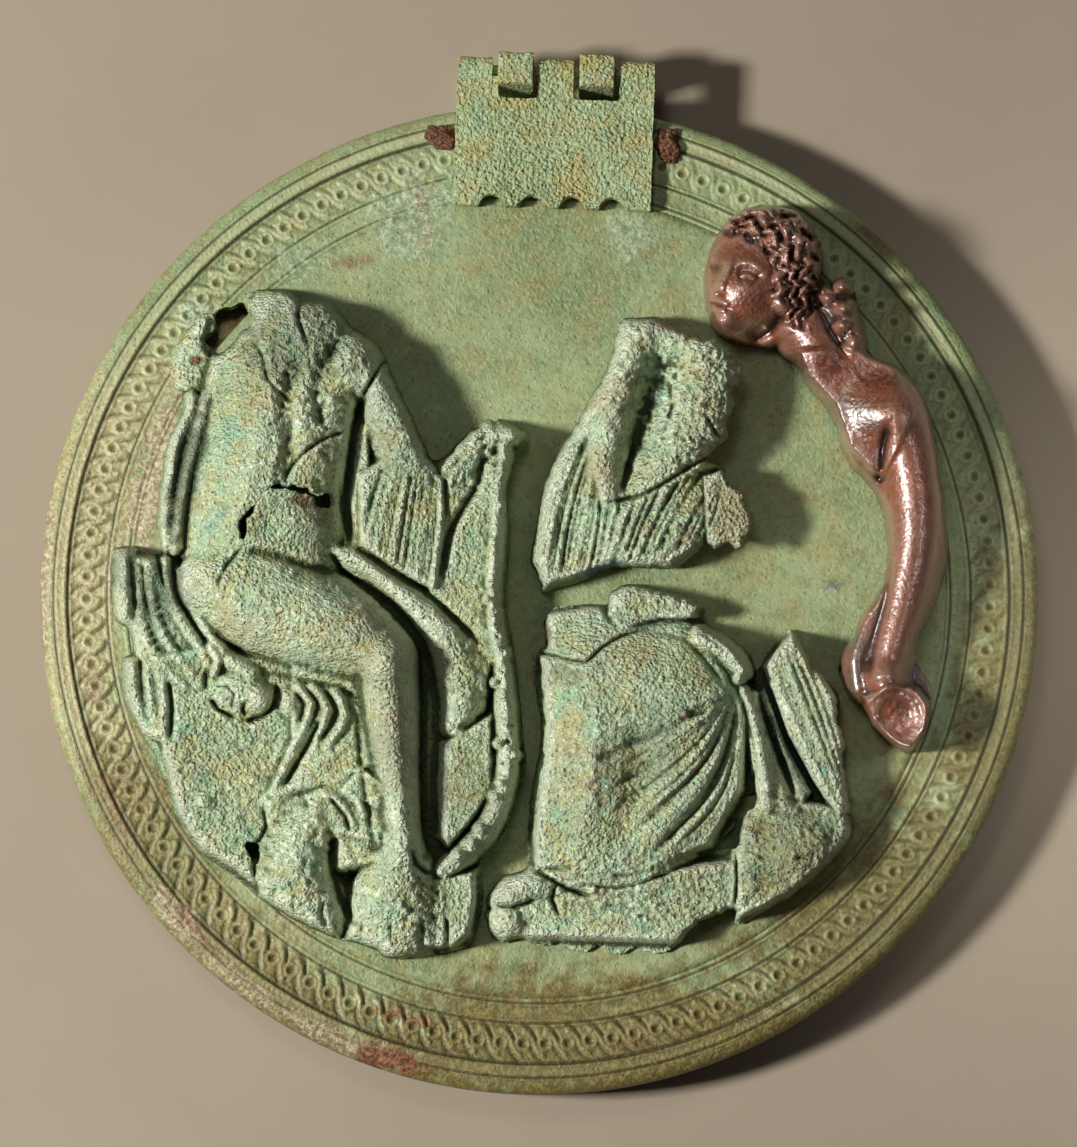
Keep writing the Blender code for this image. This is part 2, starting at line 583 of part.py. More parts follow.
def new_material(name, colour, metallic, roughness):
    """A plain Principled material."""
    material = bpy.data.materials.new(name)
    material.use_nodes = True
    shader = material.node_tree.nodes["Principled BSDF"]
    shader.inputs["Base Color"].default_value = colour
    shader.inputs["Metallic"].default_value = metallic
    shader.inputs["Roughness"].default_value = roughness
    material.diffuse_color = colour
    return material


def add_object(name, data, collection, material=None):
    """Links an object with smooth shading broken at sharp edges."""
    obj = bpy.data.objects.new(name, data)
    collection.objects.link(obj)
    if material is not None:
        data.materials.append(material)
        data.shade_smooth()
        data.set_sharp_from_angle(angle=math.radians(35.0))
    return obj


def turned_piece(name, profile, steps, collection, material):
    """A turned shape: an outline of (radius, height), from the top at the axis down to the bottom."""
    mesh = bmesh.new()
    verts = [mesh.verts.new((radius, 0.0, height)) for radius, height in profile]
    for first, second in zip(verts, verts[1:]):
        mesh.edges.new((first, second))
    data = bpy.data.meshes.new(name)
    mesh.to_mesh(data)
    mesh.free()
    obj = add_object(name, data, collection, material)
    screw = obj.modifiers.new("turn", "SCREW")
    screw.axis = "Z"
    screw.angle = math.tau
    screw.steps = screw.render_steps = steps
    screw.use_merge_vertices = True
    screw.merge_threshold = 0.00005
    screw.use_smooth_shade = True
    return obj


def box_mesh(name, low, high, rounded=0.0):
    """A box between two corners, its upper edges along X rounded."""
    mesh = bmesh.new()
    size = [b - a for a, b in zip(low, high)]
    middle = [(a + b) / 2.0 for a, b in zip(low, high)]
    place = Matrix.Translation(middle) @ Matrix.Diagonal((*size, 1.0))
    bmesh.ops.create_cube(mesh, size=1.0, matrix=place)
    if rounded:
        top = [e for e in mesh.edges if all(abs(v.co.z - high[2]) < 1e-7 for v in e.verts)]
        along_x = [e for e in top if abs(e.verts[0].co.y - e.verts[1].co.y) < 1e-7]
        bmesh.ops.bevel(mesh, geom=along_x, offset=rounded, segments=2, profile=0.5, affect="EDGES", material=-1)
    data = bpy.data.meshes.new(name)
    mesh.to_mesh(data)
    mesh.free()
    return data


def rod_mesh(name, radius, low, high, axis, sides=14):
    """A cylinder between two points that differ along one axis, X or Z."""
    mesh = bmesh.new()
    middle = (Vector(low) + Vector(high)) / 2.0
    length = (Vector(high) - Vector(low)).length
    turn = Matrix.Rotation(math.pi / 2.0, 4, "Y") if axis == "X" else Matrix.Identity(4)
    bmesh.ops.create_cone(
        mesh, cap_ends=True, segments=sides, radius1=radius, radius2=radius, depth=length,
        matrix=Matrix.Translation(middle) @ turn,
    )
    data = bpy.data.meshes.new(name)
    mesh.to_mesh(data)
    mesh.free()
    return data


def add_helper(name, data, cutters):
    """A shape that only cuts or joins, left out of the part."""
    helper = bpy.data.objects.new(name, data)
    helper.hide_render = True
    helper.display_type = "WIRE"
    cutters.objects.link(helper)
    return helper


def combine(obj, operation, helper):
    """Joins a helper to an object or cuts it away."""
    modifier = obj.modifiers.new(helper.name, "BOOLEAN")
    modifier.operation = operation
    modifier.solver = "EXACT"
    modifier.object = helper


def mirror_disc_profile():
    """Half the section of the mirror disc, from the middle of its face round to the boss below."""
    rim_inside = FLANGE_INSIDE - CASE_RIM_CLEARANCE - CASE_RIM_TAPER - CASE_RIM_WIDTH
    rim_outside = rim_inside + CASE_RIM_WIDTH
    soft = 0.6 * MM
    profile = [
        (0.0, MIRROR_FACE),
        (rim_inside, MIRROR_FACE),
        (rim_inside, CASE_RIM_TOP),
        (rim_outside, CASE_RIM_TOP),
        (rim_outside + CASE_RIM_TAPER, LEDGE_TOP),
        (CASE_RADIUS - soft, LEDGE_TOP),
        (CASE_RADIUS, LEDGE_TOP - soft),
        (CASE_RADIUS, FOOT_HEIGHT + soft),
        (CASE_RADIUS - soft, FOOT_HEIGHT),
        (FOOT_RADIUS, FOOT_HEIGHT),
        (FOOT_RADIUS - soft, 0.0),
        (FOOT_RADIUS - FOOT_WIDTH + soft, 0.0),
        (FOOT_RADIUS - FOOT_WIDTH, MIRROR_BACK),
    ]
    for radius in reversed(TURNED_RING_RADII):
        profile += [
            (radius + TURNED_RING_WIDTH / 2.0, MIRROR_BACK),
            (radius, MIRROR_BACK - TURNED_RING_DROP),
            (radius - TURNED_RING_WIDTH / 2.0, MIRROR_BACK),
        ]
    return profile + [(BOSS_RADIUS, MIRROR_BACK), (BOSS_RADIUS - soft, 0.0), (0.0, 0.0)]


def cover_profile():
    """Half the section of the cover, from the middle of its top round the flange to its inside."""
    fillet_outside = COVER_RADIUS - RIM_ROUND
    fillet_inside = fillet_outside - FILLET_WIDTH
    outer_line = fillet_inside - ORNAMENT_WIDTH
    inner_line = outer_line - PLAIN_BAND_WIDTH
    profile = [(0.0, COVER_TOP)]
    for line in (inner_line, outer_line):
        profile += [
            (line - LINE_WIDTH / 2.0, COVER_TOP),
            (line, COVER_TOP + LINE_HEIGHT),
            (line + LINE_WIDTH / 2.0, COVER_TOP),
        ]
    soft = 0.35 * MM
    return profile + [
        (fillet_inside - soft, COVER_TOP),
        (fillet_inside + soft, COVER_TOP + FILLET_HEIGHT),
        (fillet_outside, COVER_TOP + FILLET_HEIGHT),
        (fillet_outside + 0.7 * RIM_ROUND, COVER_TOP - 0.25 * RIM_ROUND),
        (COVER_RADIUS, COVER_TOP - RIM_ROUND),
        (COVER_RADIUS, FLANGE_BOTTOM + soft),
        (COVER_RADIUS - soft, FLANGE_BOTTOM),
        (FLANGE_INSIDE, FLANGE_BOTTOM),
        (FLANGE_INSIDE, COVER_UNDERSIDE),
        (0.0, COVER_UNDERSIDE),
    ]


def tear_cutter(cutters):
    """A prism through the cover's sheet with the tear's outline."""
    mesh = bmesh.new()
    points = zip(*on_drawing(*np.array(COVER_TEAR, float).T))
    low = COVER_UNDERSIDE - 1.0 * MM
    ring = mesh.faces.new([mesh.verts.new((x, y, low)) for x, y in points])
    raised = bmesh.ops.extrude_face_region(mesh, geom=[ring])["geom"]
    bmesh.ops.translate(
        mesh, vec=(0.0, 0.0, COVER_THICKNESS + 2.0 * MM), verts=[g for g in raised if isinstance(g, bmesh.types.BMVert)]
    )
    bmesh.ops.recalc_face_normals(mesh, faces=mesh.faces[:])
    data = bpy.data.meshes.new("cover_tear")
    mesh.to_mesh(data)
    mesh.free()
    return add_helper("cover_tear", data, cutters)


def knuckle_span(index):
    """The ends along X of the hinge's knuckle with this number, counted from the left."""
    left = -HINGE_WIDTH / 2.0 + index * (KNUCKLE_WIDTH + KNUCKLE_GAP)
    return left, left + KNUCKLE_WIDTH


def bore_cutter(name, cutters):
    """A rod right through the hinge on the pin's axis."""
    reach = HINGE_WIDTH
    return add_helper(name, rod_mesh(name, BORE_RADIUS, (-reach, PIN_Y, PIN_Z), (reach, PIN_Y, PIN_Z), "X"), cutters)


def make_cover_plate(collection, cutters, material):
    """The plate on the cover: knuckles at the pin, and a scalloped lower edge."""
    half = HINGE_WIDTH / 2.0
    low = (-half, PLATE_INNER_Y, PLATE_BOTTOM)
    plate = add_object(
        "cover_hinge_plate", box_mesh("cover_hinge_plate", low, (half, PIN_Y, PLATE_TOP)), collection, material
    )
    barrel = rod_mesh("barrel", KNUCKLE_RADIUS, (-half, PIN_Y, PIN_Z), (half, PIN_Y, PIN_Z), "X", 20)
    combine(plate, "UNION", add_helper("barrel", barrel, cutters))
    notch_front = PIN_Y - LUG_LENGTH / 2.0 - LUG_RISE * 0.6
    for index in range(1, KNUCKLE_COUNT, 2):
        left, right = knuckle_span(index)
        name = f"lug_notch_{index}"
        shape = box_mesh(
            name,
            (left - KNUCKLE_GAP, notch_front, PIN_Z - 2.0 * LUG_LENGTH),
            (right + KNUCKLE_GAP, PIN_Y + 2.0 * LUG_LENGTH, PIN_Z + 2.0 * LUG_LENGTH),
        )
        combine(plate, "DIFFERENCE", add_helper(name, shape, cutters))
    spacing = HINGE_WIDTH / (SCALLOP_COUNT + 1)
    for index in range(SCALLOP_COUNT):
        x = (index - (SCALLOP_COUNT - 1) / 2.0) * spacing
        name = f"scallop_{index}"
        low, high = (x, PLATE_INNER_Y, COVER_TOP), (x, PLATE_INNER_Y, PLATE_TOP + 1.0 * MM)
        combine(plate, "DIFFERENCE", add_helper(name, rod_mesh(name, SCALLOP_RADIUS, low, high, "Z"), cutters))
    combine(plate, "DIFFERENCE", bore_cutter("cover_plate_bore", cutters))
    return plate


def make_lower_bracket(collection, cutters, material):
    """The plate under the mirror disc, with two upright lugs that hold the pin."""
    half = HINGE_WIDTH / 2.0
    low = (-half, PLATE_INNER_Y, LOWER_PLATE_LIFT)
    high = (half, PIN_Y + LUG_LENGTH / 2.0, LOWER_PLATE_LIFT + LOWER_PLATE_THICKNESS)
    bracket = add_object("lower_hinge_bracket", box_mesh("lower_hinge_bracket", low, high), collection, material)
    for index in range(1, KNUCKLE_COUNT, 2):
        left, right = knuckle_span(index)
        name = f"lug_{index}"
        shape = box_mesh(
            name,
            (left, PIN_Y - LUG_LENGTH / 2.0, LOWER_PLATE_LIFT + LOWER_PLATE_THICKNESS / 2.0),
            (right, PIN_Y + LUG_LENGTH / 2.0, PIN_Z + LUG_RISE),
            rounded=LUG_ROUND,
        )
        combine(bracket, "UNION", add_helper(name, shape, cutters))
    combine(bracket, "DIFFERENCE", bore_cutter("bracket_bore", cutters))
    return bracket


def main():
    clear_scene()
    parts = new_collection(PART)
    cutters = new_collection("cutters")
    finishes = {
        "patina_green": new_material("patina_green", BRONZE_GREEN, 0.1, 0.8),
        "patina_olive": new_material("patina_olive", BRONZE_OLIVE, 0.3, 0.65),
        "cleaned_bronze": new_material("cleaned_bronze", BRONZE_CLEANED, 0.8, 0.35),
        "mirror_bronze": new_material("mirror_bronze", BRONZE_BRIGHT, 0.9, 0.3),
    }

    turned_piece("mirror_disc", mirror_disc_profile(), CASE_STEPS, parts, finishes["mirror_bronze"])
    cover = turned_piece("cover_disc", cover_profile(), COVER_STEPS, parts, finishes["patina_olive"])
    combine(cover, "DIFFERENCE", tear_cutter(cutters))

    make_cover_plate(parts, cutters, finishes["patina_green"])
    make_lower_bracket(parts, cutters, finishes["patina_green"])
    pin_half = HINGE_WIDTH / 2.0
    pin = rod_mesh("hinge_pin", PIN_RADIUS, (-pin_half, PIN_Y, PIN_Z), (pin_half, PIN_Y, PIN_Z), "X")
    add_object("hinge_pin", pin, parts, finishes["patina_olive"])

    for name, (design, finish) in RELIEFS.items():
        add_object(name, relief_mesh(name, design()), parts, finishes[finish])

    axis = bpy.data.objects.new("hinge_axis", None)
    axis.location = (0.0, PIN_Y, PIN_Z)
    parts.objects.link(axis)
    bpy.context.view_layer.update()
    for name in ("cover_disc", "cover_hinge_plate", *RELIEFS):
        child = bpy.data.objects[name]
        child.parent = axis
        child.matrix_parent_inverse = axis.matrix_world.inverted()


if __name__ == "__main__":
    main()
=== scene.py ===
"""The finish of the folding box mirror: its beaten relief, punched rim and patina, and the picture of it.

Metres, +Z up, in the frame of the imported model. The relief is laid out on a drawing, in the units of the
picture and as the camera sees it, and is carried from there to the cover.
"""

import logging
import math
from collections.abc import Iterator
from dataclasses import dataclass, field
from enum import Enum

import bmesh
import bpy
import numpy as np
from mathutils import Matrix, Vector


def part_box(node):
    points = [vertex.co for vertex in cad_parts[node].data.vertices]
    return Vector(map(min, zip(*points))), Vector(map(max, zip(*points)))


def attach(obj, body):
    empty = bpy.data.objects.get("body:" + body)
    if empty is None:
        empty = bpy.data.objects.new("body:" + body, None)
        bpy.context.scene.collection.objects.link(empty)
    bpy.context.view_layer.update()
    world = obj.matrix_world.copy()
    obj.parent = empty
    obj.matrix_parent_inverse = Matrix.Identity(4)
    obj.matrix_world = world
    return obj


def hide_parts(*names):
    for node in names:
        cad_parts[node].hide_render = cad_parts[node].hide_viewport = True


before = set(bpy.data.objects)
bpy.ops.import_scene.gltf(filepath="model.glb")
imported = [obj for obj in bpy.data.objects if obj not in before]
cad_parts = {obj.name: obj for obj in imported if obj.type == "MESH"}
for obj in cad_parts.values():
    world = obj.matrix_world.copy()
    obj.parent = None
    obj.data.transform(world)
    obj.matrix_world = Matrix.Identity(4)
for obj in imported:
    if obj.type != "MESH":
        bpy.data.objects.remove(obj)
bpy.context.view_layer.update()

log = logging.getLogger("box_mirror")

MM = 0.001
COVER_BODY = "cover"
MIRROR_BODY = "mirror"

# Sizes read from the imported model
COVER_LOW, COVER_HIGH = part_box("cover_disc")
COVER_RADIUS = COVER_HIGH.x
FILLET_HEIGHT = 0.4 * MM
COVER_TOP = COVER_HIGH.z - FILLET_HEIGHT
COVER_THICKNESS = 2.2 * MM
COVER_UNDERSIDE = COVER_TOP - COVER_THICKNESS
FLANGE_WIDTH = 2.6 * MM
RELIEF_FLOOR = COVER_TOP + 0.12 * MM
RELIEF_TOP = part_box("relief_seated_figure")[1].z

# Radii of the rim's turned lines and ornament
OUTER_LINE = 82.6 * MM
DARK_LINE = 79.9 * MM
ORNAMENT_RADIUS = 76.55 * MM
BAND_LINE = 73.2 * MM
INNER_LINE = 69.8 * MM
BAND_INSIDE = 69.0 * MM
BAND_OUTSIDE = 82.95 * MM
RING_COUNT = 128

# The rim's pairs of lines: radius, and in mm their height, half distance and the width of the darkening
# along them
RIM_LINES = (
    (OUTER_LINE - 0.3 * MM, 0.24, 0.42, 0.3),
    (DARK_LINE, 0.34, 0.5, 0.5),
    (BAND_LINE, 0.28, 0.42, 0.26),
    (INNER_LINE, 0.24, 0.42, 0.26),
)

# The hinge
SCALLOP_SPACING = 6.84 * MM
SCALLOP_RADIUS = 2.1 * MM

# The drawing
PICTURE = (1077, 1147)
DRAWING_CENTRE = (538.7, 598.1)
DRAWING_HALF_AXES = (501.0, 496.0)
DRAWING_TURN = math.radians(1.95)
EYE_DISTANCE = 900.0 * MM
EYE_TILT = math.radians(8.0)
EYE_LEAN = EYE_DISTANCE * math.sin(EYE_TILT)
EYE_HEIGHT = EYE_DISTANCE * math.cos(EYE_TILT)
EYE = (EYE_LEAN * math.sin(DRAWING_TURN), -EYE_LEAN * math.cos(DRAWING_TURN))
FOCAL = DRAWING_HALF_AXES[0] * EYE_DISTANCE / COVER_RADIUS
FORESHORTENING = DRAWING_HALF_AXES[1] * COVER_RADIUS * math.sin(EYE_TILT) / EYE_DISTANCE
AIM = (DRAWING_CENTRE[0], DRAWING_CENTRE[1] - FORESHORTENING)

# The relief's sheet: its least and greatest height, the foot of a straight edge, how softly forms join
SHEET = 0.9 * MM
HIGHEST_RISE = RELIEF_TOP - RELIEF_FLOOR - 0.1 * MM
WALL_FOOT = RELIEF_FLOOR + 0.05 * MM
SOFTNESS = 7.0

# How far the sheet lies below its close and its wide surroundings in a full hollow
CLOSE_HOLLOW = 1.1 * MM
# The close hollow darkens recesses as patina; the wide hollow paints shade into broad valleys.
WIDE_HOLLOW = 16.0 * MM

# How near to each other points become one, in a mesh and where a ring closes
WELD = 0.002 * MM
SEAM_WELD = 0.005 * MM

COAT_ROUGHNESS = 0.32
COAT_IOR = 1.9

Rows = list[tuple[float, ...]]
Points = np.ndarray


def srgb(red: float, green: float, blue: float) -> tuple[float, float, float, float]:
    """Linear colour, with full opacity, of screen values from 0 to 255."""
    values = (red / 255.0, green / 255.0, blue / 255.0)
    linear = [v / 12.92 if v <= 0.04045 else ((v + 0.055) / 1.055) ** 2.4 for v in values]
    return (*linear, 1.0)


def on_drawing(x: Points, y: Points) -> tuple[Points, Points]:
    """The ground points that are seen at points on the drawing.

    Args:
        x: Places across the drawing.
        y: Places down the drawing.

    Returns:
        Places each way in metres from the cover's centre.
    """
    right, up = (x - AIM[0]) / FOCAL, (AIM[1] - y) / FOCAL
    reach = EYE_HEIGHT / (math.cos(EYE_TILT) - up * math.sin(EYE_TILT))
    along = up * math.cos(EYE_TILT) * reach - math.sin(EYE_TILT) * reach + EYE_LEAN
    across = right * reach
    cos, sin = math.cos(DRAWING_TURN), math.sin(DRAWING_TURN)
    return across * cos - along * sin, across * sin + along * cos


def from_ground(ground_x: Points, ground_y: Points) -> tuple[Points, Points]:
    """The way back from on_drawing.

    Args:
        ground_x: Places in metres from the cover's centre.
        ground_y: The same, towards the upper edge.

    Returns:
        Places across and down the drawing.
    """
    cos, sin = math.cos(DRAWING_TURN), math.sin(DRAWING_TURN)
    across = ground_x * cos + ground_y * sin
    along = ground_y * cos - ground_x * sin
    depth = EYE_DISTANCE + along * math.sin(EYE_TILT)
    return AIM[0] + FOCAL * across / depth, AIM[1] - FOCAL * along * math.cos(EYE_TILT) / depth


def in_relief(x: Points, y: Points, rise: Points) -> Points:
    """Places of relief points seen at (x, y) on the drawing.

    Args:
        x: Places across the drawing.
        y: Places down the drawing.
        rise: Heights above the cover in metres.

    Returns:
        One row of three coordinates for each point.
    """
    ground_x, ground_y = on_drawing(x, y)
    part_way = rise / EYE_HEIGHT
    place_x = ground_x + (EYE[0] - ground_x) * part_way
    place_y = ground_y + (EYE[1] - ground_y) * part_way
    return np.stack((place_x, place_y, RELIEF_FLOOR + rise), axis=1)


def eased(share: Points) -> Points:
    """Shares from 0 to 1 that start and end softly."""
    return share * share * (3.0 - 2.0 * share)


def lattice_noise(x: Points, y: Points, size: float, seed: int) -> Points:
    """Smooth random values from -1 to 1.

    Args:
        x: Places one way.
        y: Places the other way.
        size: Distance over which the values change.
        seed: Which of the random tables they come from.

    Returns:
        One value for each place.
    """
    table = np.random.default_rng(seed).random((256, 256)) * 2.0 - 1.0
    u, v = x / size, y / size
    column, row = np.floor(u).astype(int), np.floor(v).astype(int)
    s, t = eased(u - column), eased(v - row)
    left, right, up, down = column & 255, (column + 1) & 255, row & 255, (row + 1) & 255
    first = table[up, left] * (1.0 - s) + table[up, right] * s
    second = table[down, left] * (1.0 - s) + table[down, right] * s
    return first * (1.0 - t) + second * t


def smooth_path(path: Rows, step: float, closed: bool = False) -> Points:
    """A curve through a path's points.

    Args:
        path: Points of the path, whose further columns follow along.
        step: Distance between the curve's points.
        closed: Whether the curve comes back to its start.

    Returns:
        One row for each of the curve's points.
    """
    count = len(path)
    rows = np.array(path, float)
    points = []
    for i in range(count if closed else count - 1):
        wanted = (i - 1, i, i + 1, i + 2)
        if closed:
            before, start, end, after = (rows[k % count] for k in wanted)
        else:
            before, start, end, after = (rows[min(max(k, 0), count - 1)] for k in wanted)
        pieces = max(1, round(math.dist(start[:2], end[:2]) / step))
        for piece in range(pieces):
            t = piece / pieces
            bend = (2 * before - 5 * start + 4 * end - after) * t * t
            bend = bend + (3 * start - before - 3 * end + after) * t**3
            points.append(start + 0.5 * ((end - before) * t + bend))
    if not closed:
        points.append(rows[-1])
    return np.array(points)


def along_segments(x: Points, y: Points, path: Points, closed: bool = False) -> Iterator[tuple]:
    """Goes along a path and measures points from each of its segments.

    Args:
        x: Places of the points one way.
        y: Places of the points the other way.
        path: Points of the path.
        closed: Whether a last segment leads back to its start.

    Returns:
        For each segment its two ends, the share of the way along it and the distance to it.
    """
    ends = list(zip(path, path[1:]))
    if closed:
        ends.append((path[-1], path[0]))
    for start, end in ends:
        run = end[:2] - start[:2]
        length = max(float(run @ run), 1e-9)
        share = np.clip(((x - start[0]) * run[0] + (y - start[1]) * run[1]) / length, 0.0, 1.0)
        gap = np.hypot(x - start[0] - share * run[0], y - start[1] - share * run[1])
        yield start, end, share, gap


def inside(x: Points, y: Points, corners: Points) -> Points:
    """Whether points lie inside a closed outline.

    Args:
        x: Places of the points one way.
        y: Places of the points the other way.
        corners: The outline's corners.

    Returns:
        One value for each point.
    """
    odd = np.zeros(np.shape(x), bool)
    for (x1, y1), (x2, y2) in zip(corners, np.roll(corners, -1, axis=0)):
        rise = y2 - y1 if y2 != y1 else 1e-9
        odd ^= ((y1 > y) != (y2 > y)) & (x < (x2 - x1) * (y - y1) / rise + x1)
    return odd


class Worked:
    """Work along a path on the drawing, which gives the sheet a height in mm within its reach."""

    def __init__(self, path: Points, reach: float):
        """Keeps the path and how far from it the work is felt."""
        self.path = path
        self.reach = reach

    def measure(self, x: Points, y: Points) -> Points:
        """The height within reach of the path.

        Args:
            x: Places across the drawing.
            y: Places down the drawing.

        Returns:
            One height in mm for each point.
        """
        raise NotImplementedError

    def at(self, x: Points, y: Points) -> Points:
        """The height anywhere, which is zero out of reach.

        Args:
            x: Places across the drawing.
            y: Places down the drawing.

        Returns:
            One height in mm for each point.
        """
        values = np.zeros_like(x)
        low = self.path[:, :2].min(axis=0) - self.reach
        high = self.path[:, :2].max(axis=0) + self.reach
        near = (x > low[0]) & (x < high[0]) & (y > low[1]) & (y < high[1])
        if near.any():
            values[near] = self.measure(x[near], y[near])
        return values


class Limb(Worked):
    """A rounded form along a path."""

    def __init__(self, *path: tuple[float, float, float, float]):
        """Draws the path through points of (x, y, half width, height)."""
        curve = smooth_path(list(path), 14.0)
        super().__init__(curve, curve[:, 2].max())

    def measure(self, x: Points, y: Points) -> Points:
        """The height at each point of a section that is round across the path."""
        best = np.zeros_like(x)
        for start, end, share, gap in along_segments(x, y, self.path):
            width = start[2] + (end[2] - start[2]) * share
            height = start[3] + (end[3] - start[3]) * share
            best = np.maximum(best, height * np.sqrt(np.clip(1.0 - (gap / width) ** 2, 0.0, 1.0)))
        return best


class Slab(Worked):
    """A flat form with soft edges."""

    def __init__(self, height: float, soft: float, *corners: tuple[float, float]):
        """Keeps the height, the width of the soft edge and the corners."""
        super().__init__(np.array(corners, float), 0.0)
        self.height = height
        self.soft = soft

    def measure(self, x: Points, y: Points) -> Points:
        """The height at each point, which falls off towards the outline."""
        gap = np.full_like(x, 1e9)
        for _start, _end, _share, distance in along_segments(x, y, self.path, closed=True):
            gap = np.minimum(gap, distance)
        return self.height * eased(np.clip(gap / self.soft, 0.0, 1.0) * inside(x, y, self.path))


class Crease(Worked):
    """A groove along a path, or a ridge where its depth is negative."""

    def __init__(self, width: float, depth: float, *path: tuple[float, float]):
        """Keeps the width and the depth and draws the path."""
        super().__init__(smooth_path(list(path), 12.0), 3.0 * width)
        self.width = width
        self.depth = depth

    def measure(self, x: Points, y: Points) -> Points:
        """The depth at each point, which runs out towards both ends."""
        deepest = np.zeros_like(x)
        last = len(self.path) - 1
        for i, (_start, _end, share, gap) in enumerate(along_segments(x, y, self.path)):
            along = (i + share) / last
            strength = np.clip(np.minimum(along, 1.0 - along) * 5.0 + 0.25, 0.0, 1.0)
            deepest = np.maximum(deepest, strength * np.exp(-((gap / self.width) ** 2)))
        return self.depth * deepest


@dataclass(frozen=True)
class Oval:
    """An oval place on the drawing.

    Args:
        x: Centre across.
        y: Centre down.
        half_x: Half width.
        half_y: Half height.
        turn: Turn in degrees.
        value: Height, depth or strength in the middle. Heights and depths are in mm.
    """

    x: float
    y: float
    half_x: float
    half_y: float
    turn: float = 0.0
    value: float = 1.0

    def away(self, x: Points, y: Points) -> Points:
        """How far points lie from the centre, where 1 is the oval's edge."""
        dx, dy = x - self.x, y - self.y
        cos, sin = math.cos(math.radians(self.turn)), math.sin(math.radians(self.turn))
        return np.hypot((dx * cos + dy * sin) / self.half_x, (dy * cos - dx * sin) / self.half_y)


class Mass(Oval):
    """An oval dome."""

    def at(self, x: Points, y: Points) -> Points:
        """The height at points on the drawing."""
        return self.value * np.sqrt(np.clip(1.0 - self.away(x, y) ** 2, 0.0, 1.0))


class Dent(Oval):
    """An oval lowering with a flat floor and soft edges."""

    def at(self, x: Points, y: Points) -> Points:
        """The depth at points on the drawing."""
        return self.value * eased(np.clip((1.3 - self.away(x, y)) / 0.6, 0.0, 1.0))


class Crust(Oval):
    """An oval area with a rougher surface than the rest."""

    def at(self, x: Points, y: Points) -> Points:
        """The depth of the roughness at points on the drawing."""
        return self.value * np.clip((1.25 - self.away(x, y)) * 2.0, 0.0, 1.0)


class Stain(Oval):
    """An oval patch of local colour with a ragged edge."""

    def at(self, x: Points, y: Points) -> Points:
        """The patch's strength at points on the drawing."""
        ragged = 0.32 * lattice_noise(x, y, 11.0, 5) + 0.22 * lattice_noise(x, y, 4.5, 6)
        return self.value * np.clip((1.15 - self.away(x, y) + ragged) * 2.2, 0.0, 1.0)


def pleats(
    count: int, width: float, depth: float, first: Rows, last: Rows, wave: float = 0.0
) -> list[Crease]:
    """Uneven grooves spread from one path to another.

    Args:
        count: How many grooves.
        width: Usual width of a groove.
        depth: Usual depth of a groove in mm.
        first: Points of the first groove.
        last: Points of the last groove, as many as the first has.
        wave: How far the grooves sway to the sides.

    Returns:
        The grooves.
    """
    start, end = smooth_path(first, 1e9), smooth_path(last, 1e9)
    if wave:
        shares = np.linspace(0.0, len(first) - 1.0, 6 * len(first))
        start = np.stack([np.interp(shares, range(len(first)), column) for column in start.T], axis=1)
        end = np.stack([np.interp(shares, range(len(last)), column) for column in end.T], axis=1)
    grooves = []
    for i in range(count):
        uneven = 0.22 * math.sin(2.4 * i + count) * (0 < i < count - 1)
        line = start + (end - start) * (i + uneven) / max(count - 1, 1)
        if wave:
            run = np.gradient(line, axis=0)
            side = np.stack((-run[:, 1], run[:, 0]), axis=1) / np.hypot(*run.T)[:, None]
            sway = wave * np.sin(np.arange(len(line)) * 1.35 + 0.9 * math.sin(1.7 * i))
            line = line + side * sway[:, None]
        wide = width * (1.0 + 0.3 * math.sin(3.7 * i + 1.0))
        deep = depth * (1.0 + 0.35 * math.sin(5.1 * i))
        grooves.append(Crease(wide, deep, *map(tuple, line)))
    return grooves


def hatching(
    pitch: float, reach: float, lean: float, width: float, depth: float, *path: tuple
) -> list[Crease]:
    """Short slanting grooves across a path, as on a twisted strand of mane.

    Args:
        pitch: Distance between grooves.
        reach: Half length of each groove across the path.
        lean: How far a groove's ends run along the path.
        width: Width of a groove.
        depth: Depth of a groove in mm.
        path: Points of the path.

    Returns:
        The grooves.
    """
    line = smooth_path(list(path), pitch)
    grooves = []
    for before, here, after in zip(line, line[1:], line[2:]):
        run = (after - before)[:2] / max(math.dist(after[:2], before[:2]), 1e-6)
        side = np.array((-run[1], run[0]))
        start, end = here[:2] - side * reach - run * lean, here[:2] + side * reach + run * lean
        grooves.append(Crease(width, depth, tuple(start), tuple(end)))
    return grooves


class Tint(Enum):
    """The masks of local colour that a relief or the cover carries on its points, and the mask of painted
    shade.
    """

    CRUST = "crust"
    RUST = "rust"
    MINT = "mint"
    TAN = "tan"
    # Painted shade: darkening put in valleys, under forms and in holes, where shade falls.
    DARK = "dark"
    BLUE = "blue"
    OLIVE = "olive"


Stains = dict[Tint, Rows]


def stain_masks(stains: Stains, x: Points, y: Points) -> dict[Tint, Points]:
    """The strength of each local colour and of the painted shade.

    Args:
        stains: The ovals of each colour.
        x: Places across the drawing.
        y: Places down the drawing.

    Returns:
        For each colour one value for each point.
    """
    masks = {tint: np.zeros_like(x) for tint in Tint}
    for tint, ovals in stains.items():
        for oval in ovals:
            masks[tint] = np.maximum(masks[tint], Stain(*oval).at(x, y))
    return masks


def set_mask(mesh: bpy.types.Mesh, name: str, values: Points) -> None:
    """Stores one value for each point of a mesh under a name."""
    attribute = mesh.attributes.new(name, "FLOAT", "POINT")
    attribute.data.foreach_set("value", np.ascontiguousarray(values, np.float32))


def set_masks(mesh: bpy.types.Mesh, stains: dict[Tint, Points], hollow: Points) -> None:
    """Stores the masks of local colour, of painted shade and of the hollows on a mesh."""
    for tint, value in stains.items():
        set_mask(mesh, tint.value, value)
    set_mask(mesh, "hollow", np.clip(hollow, 0.0, 1.0))


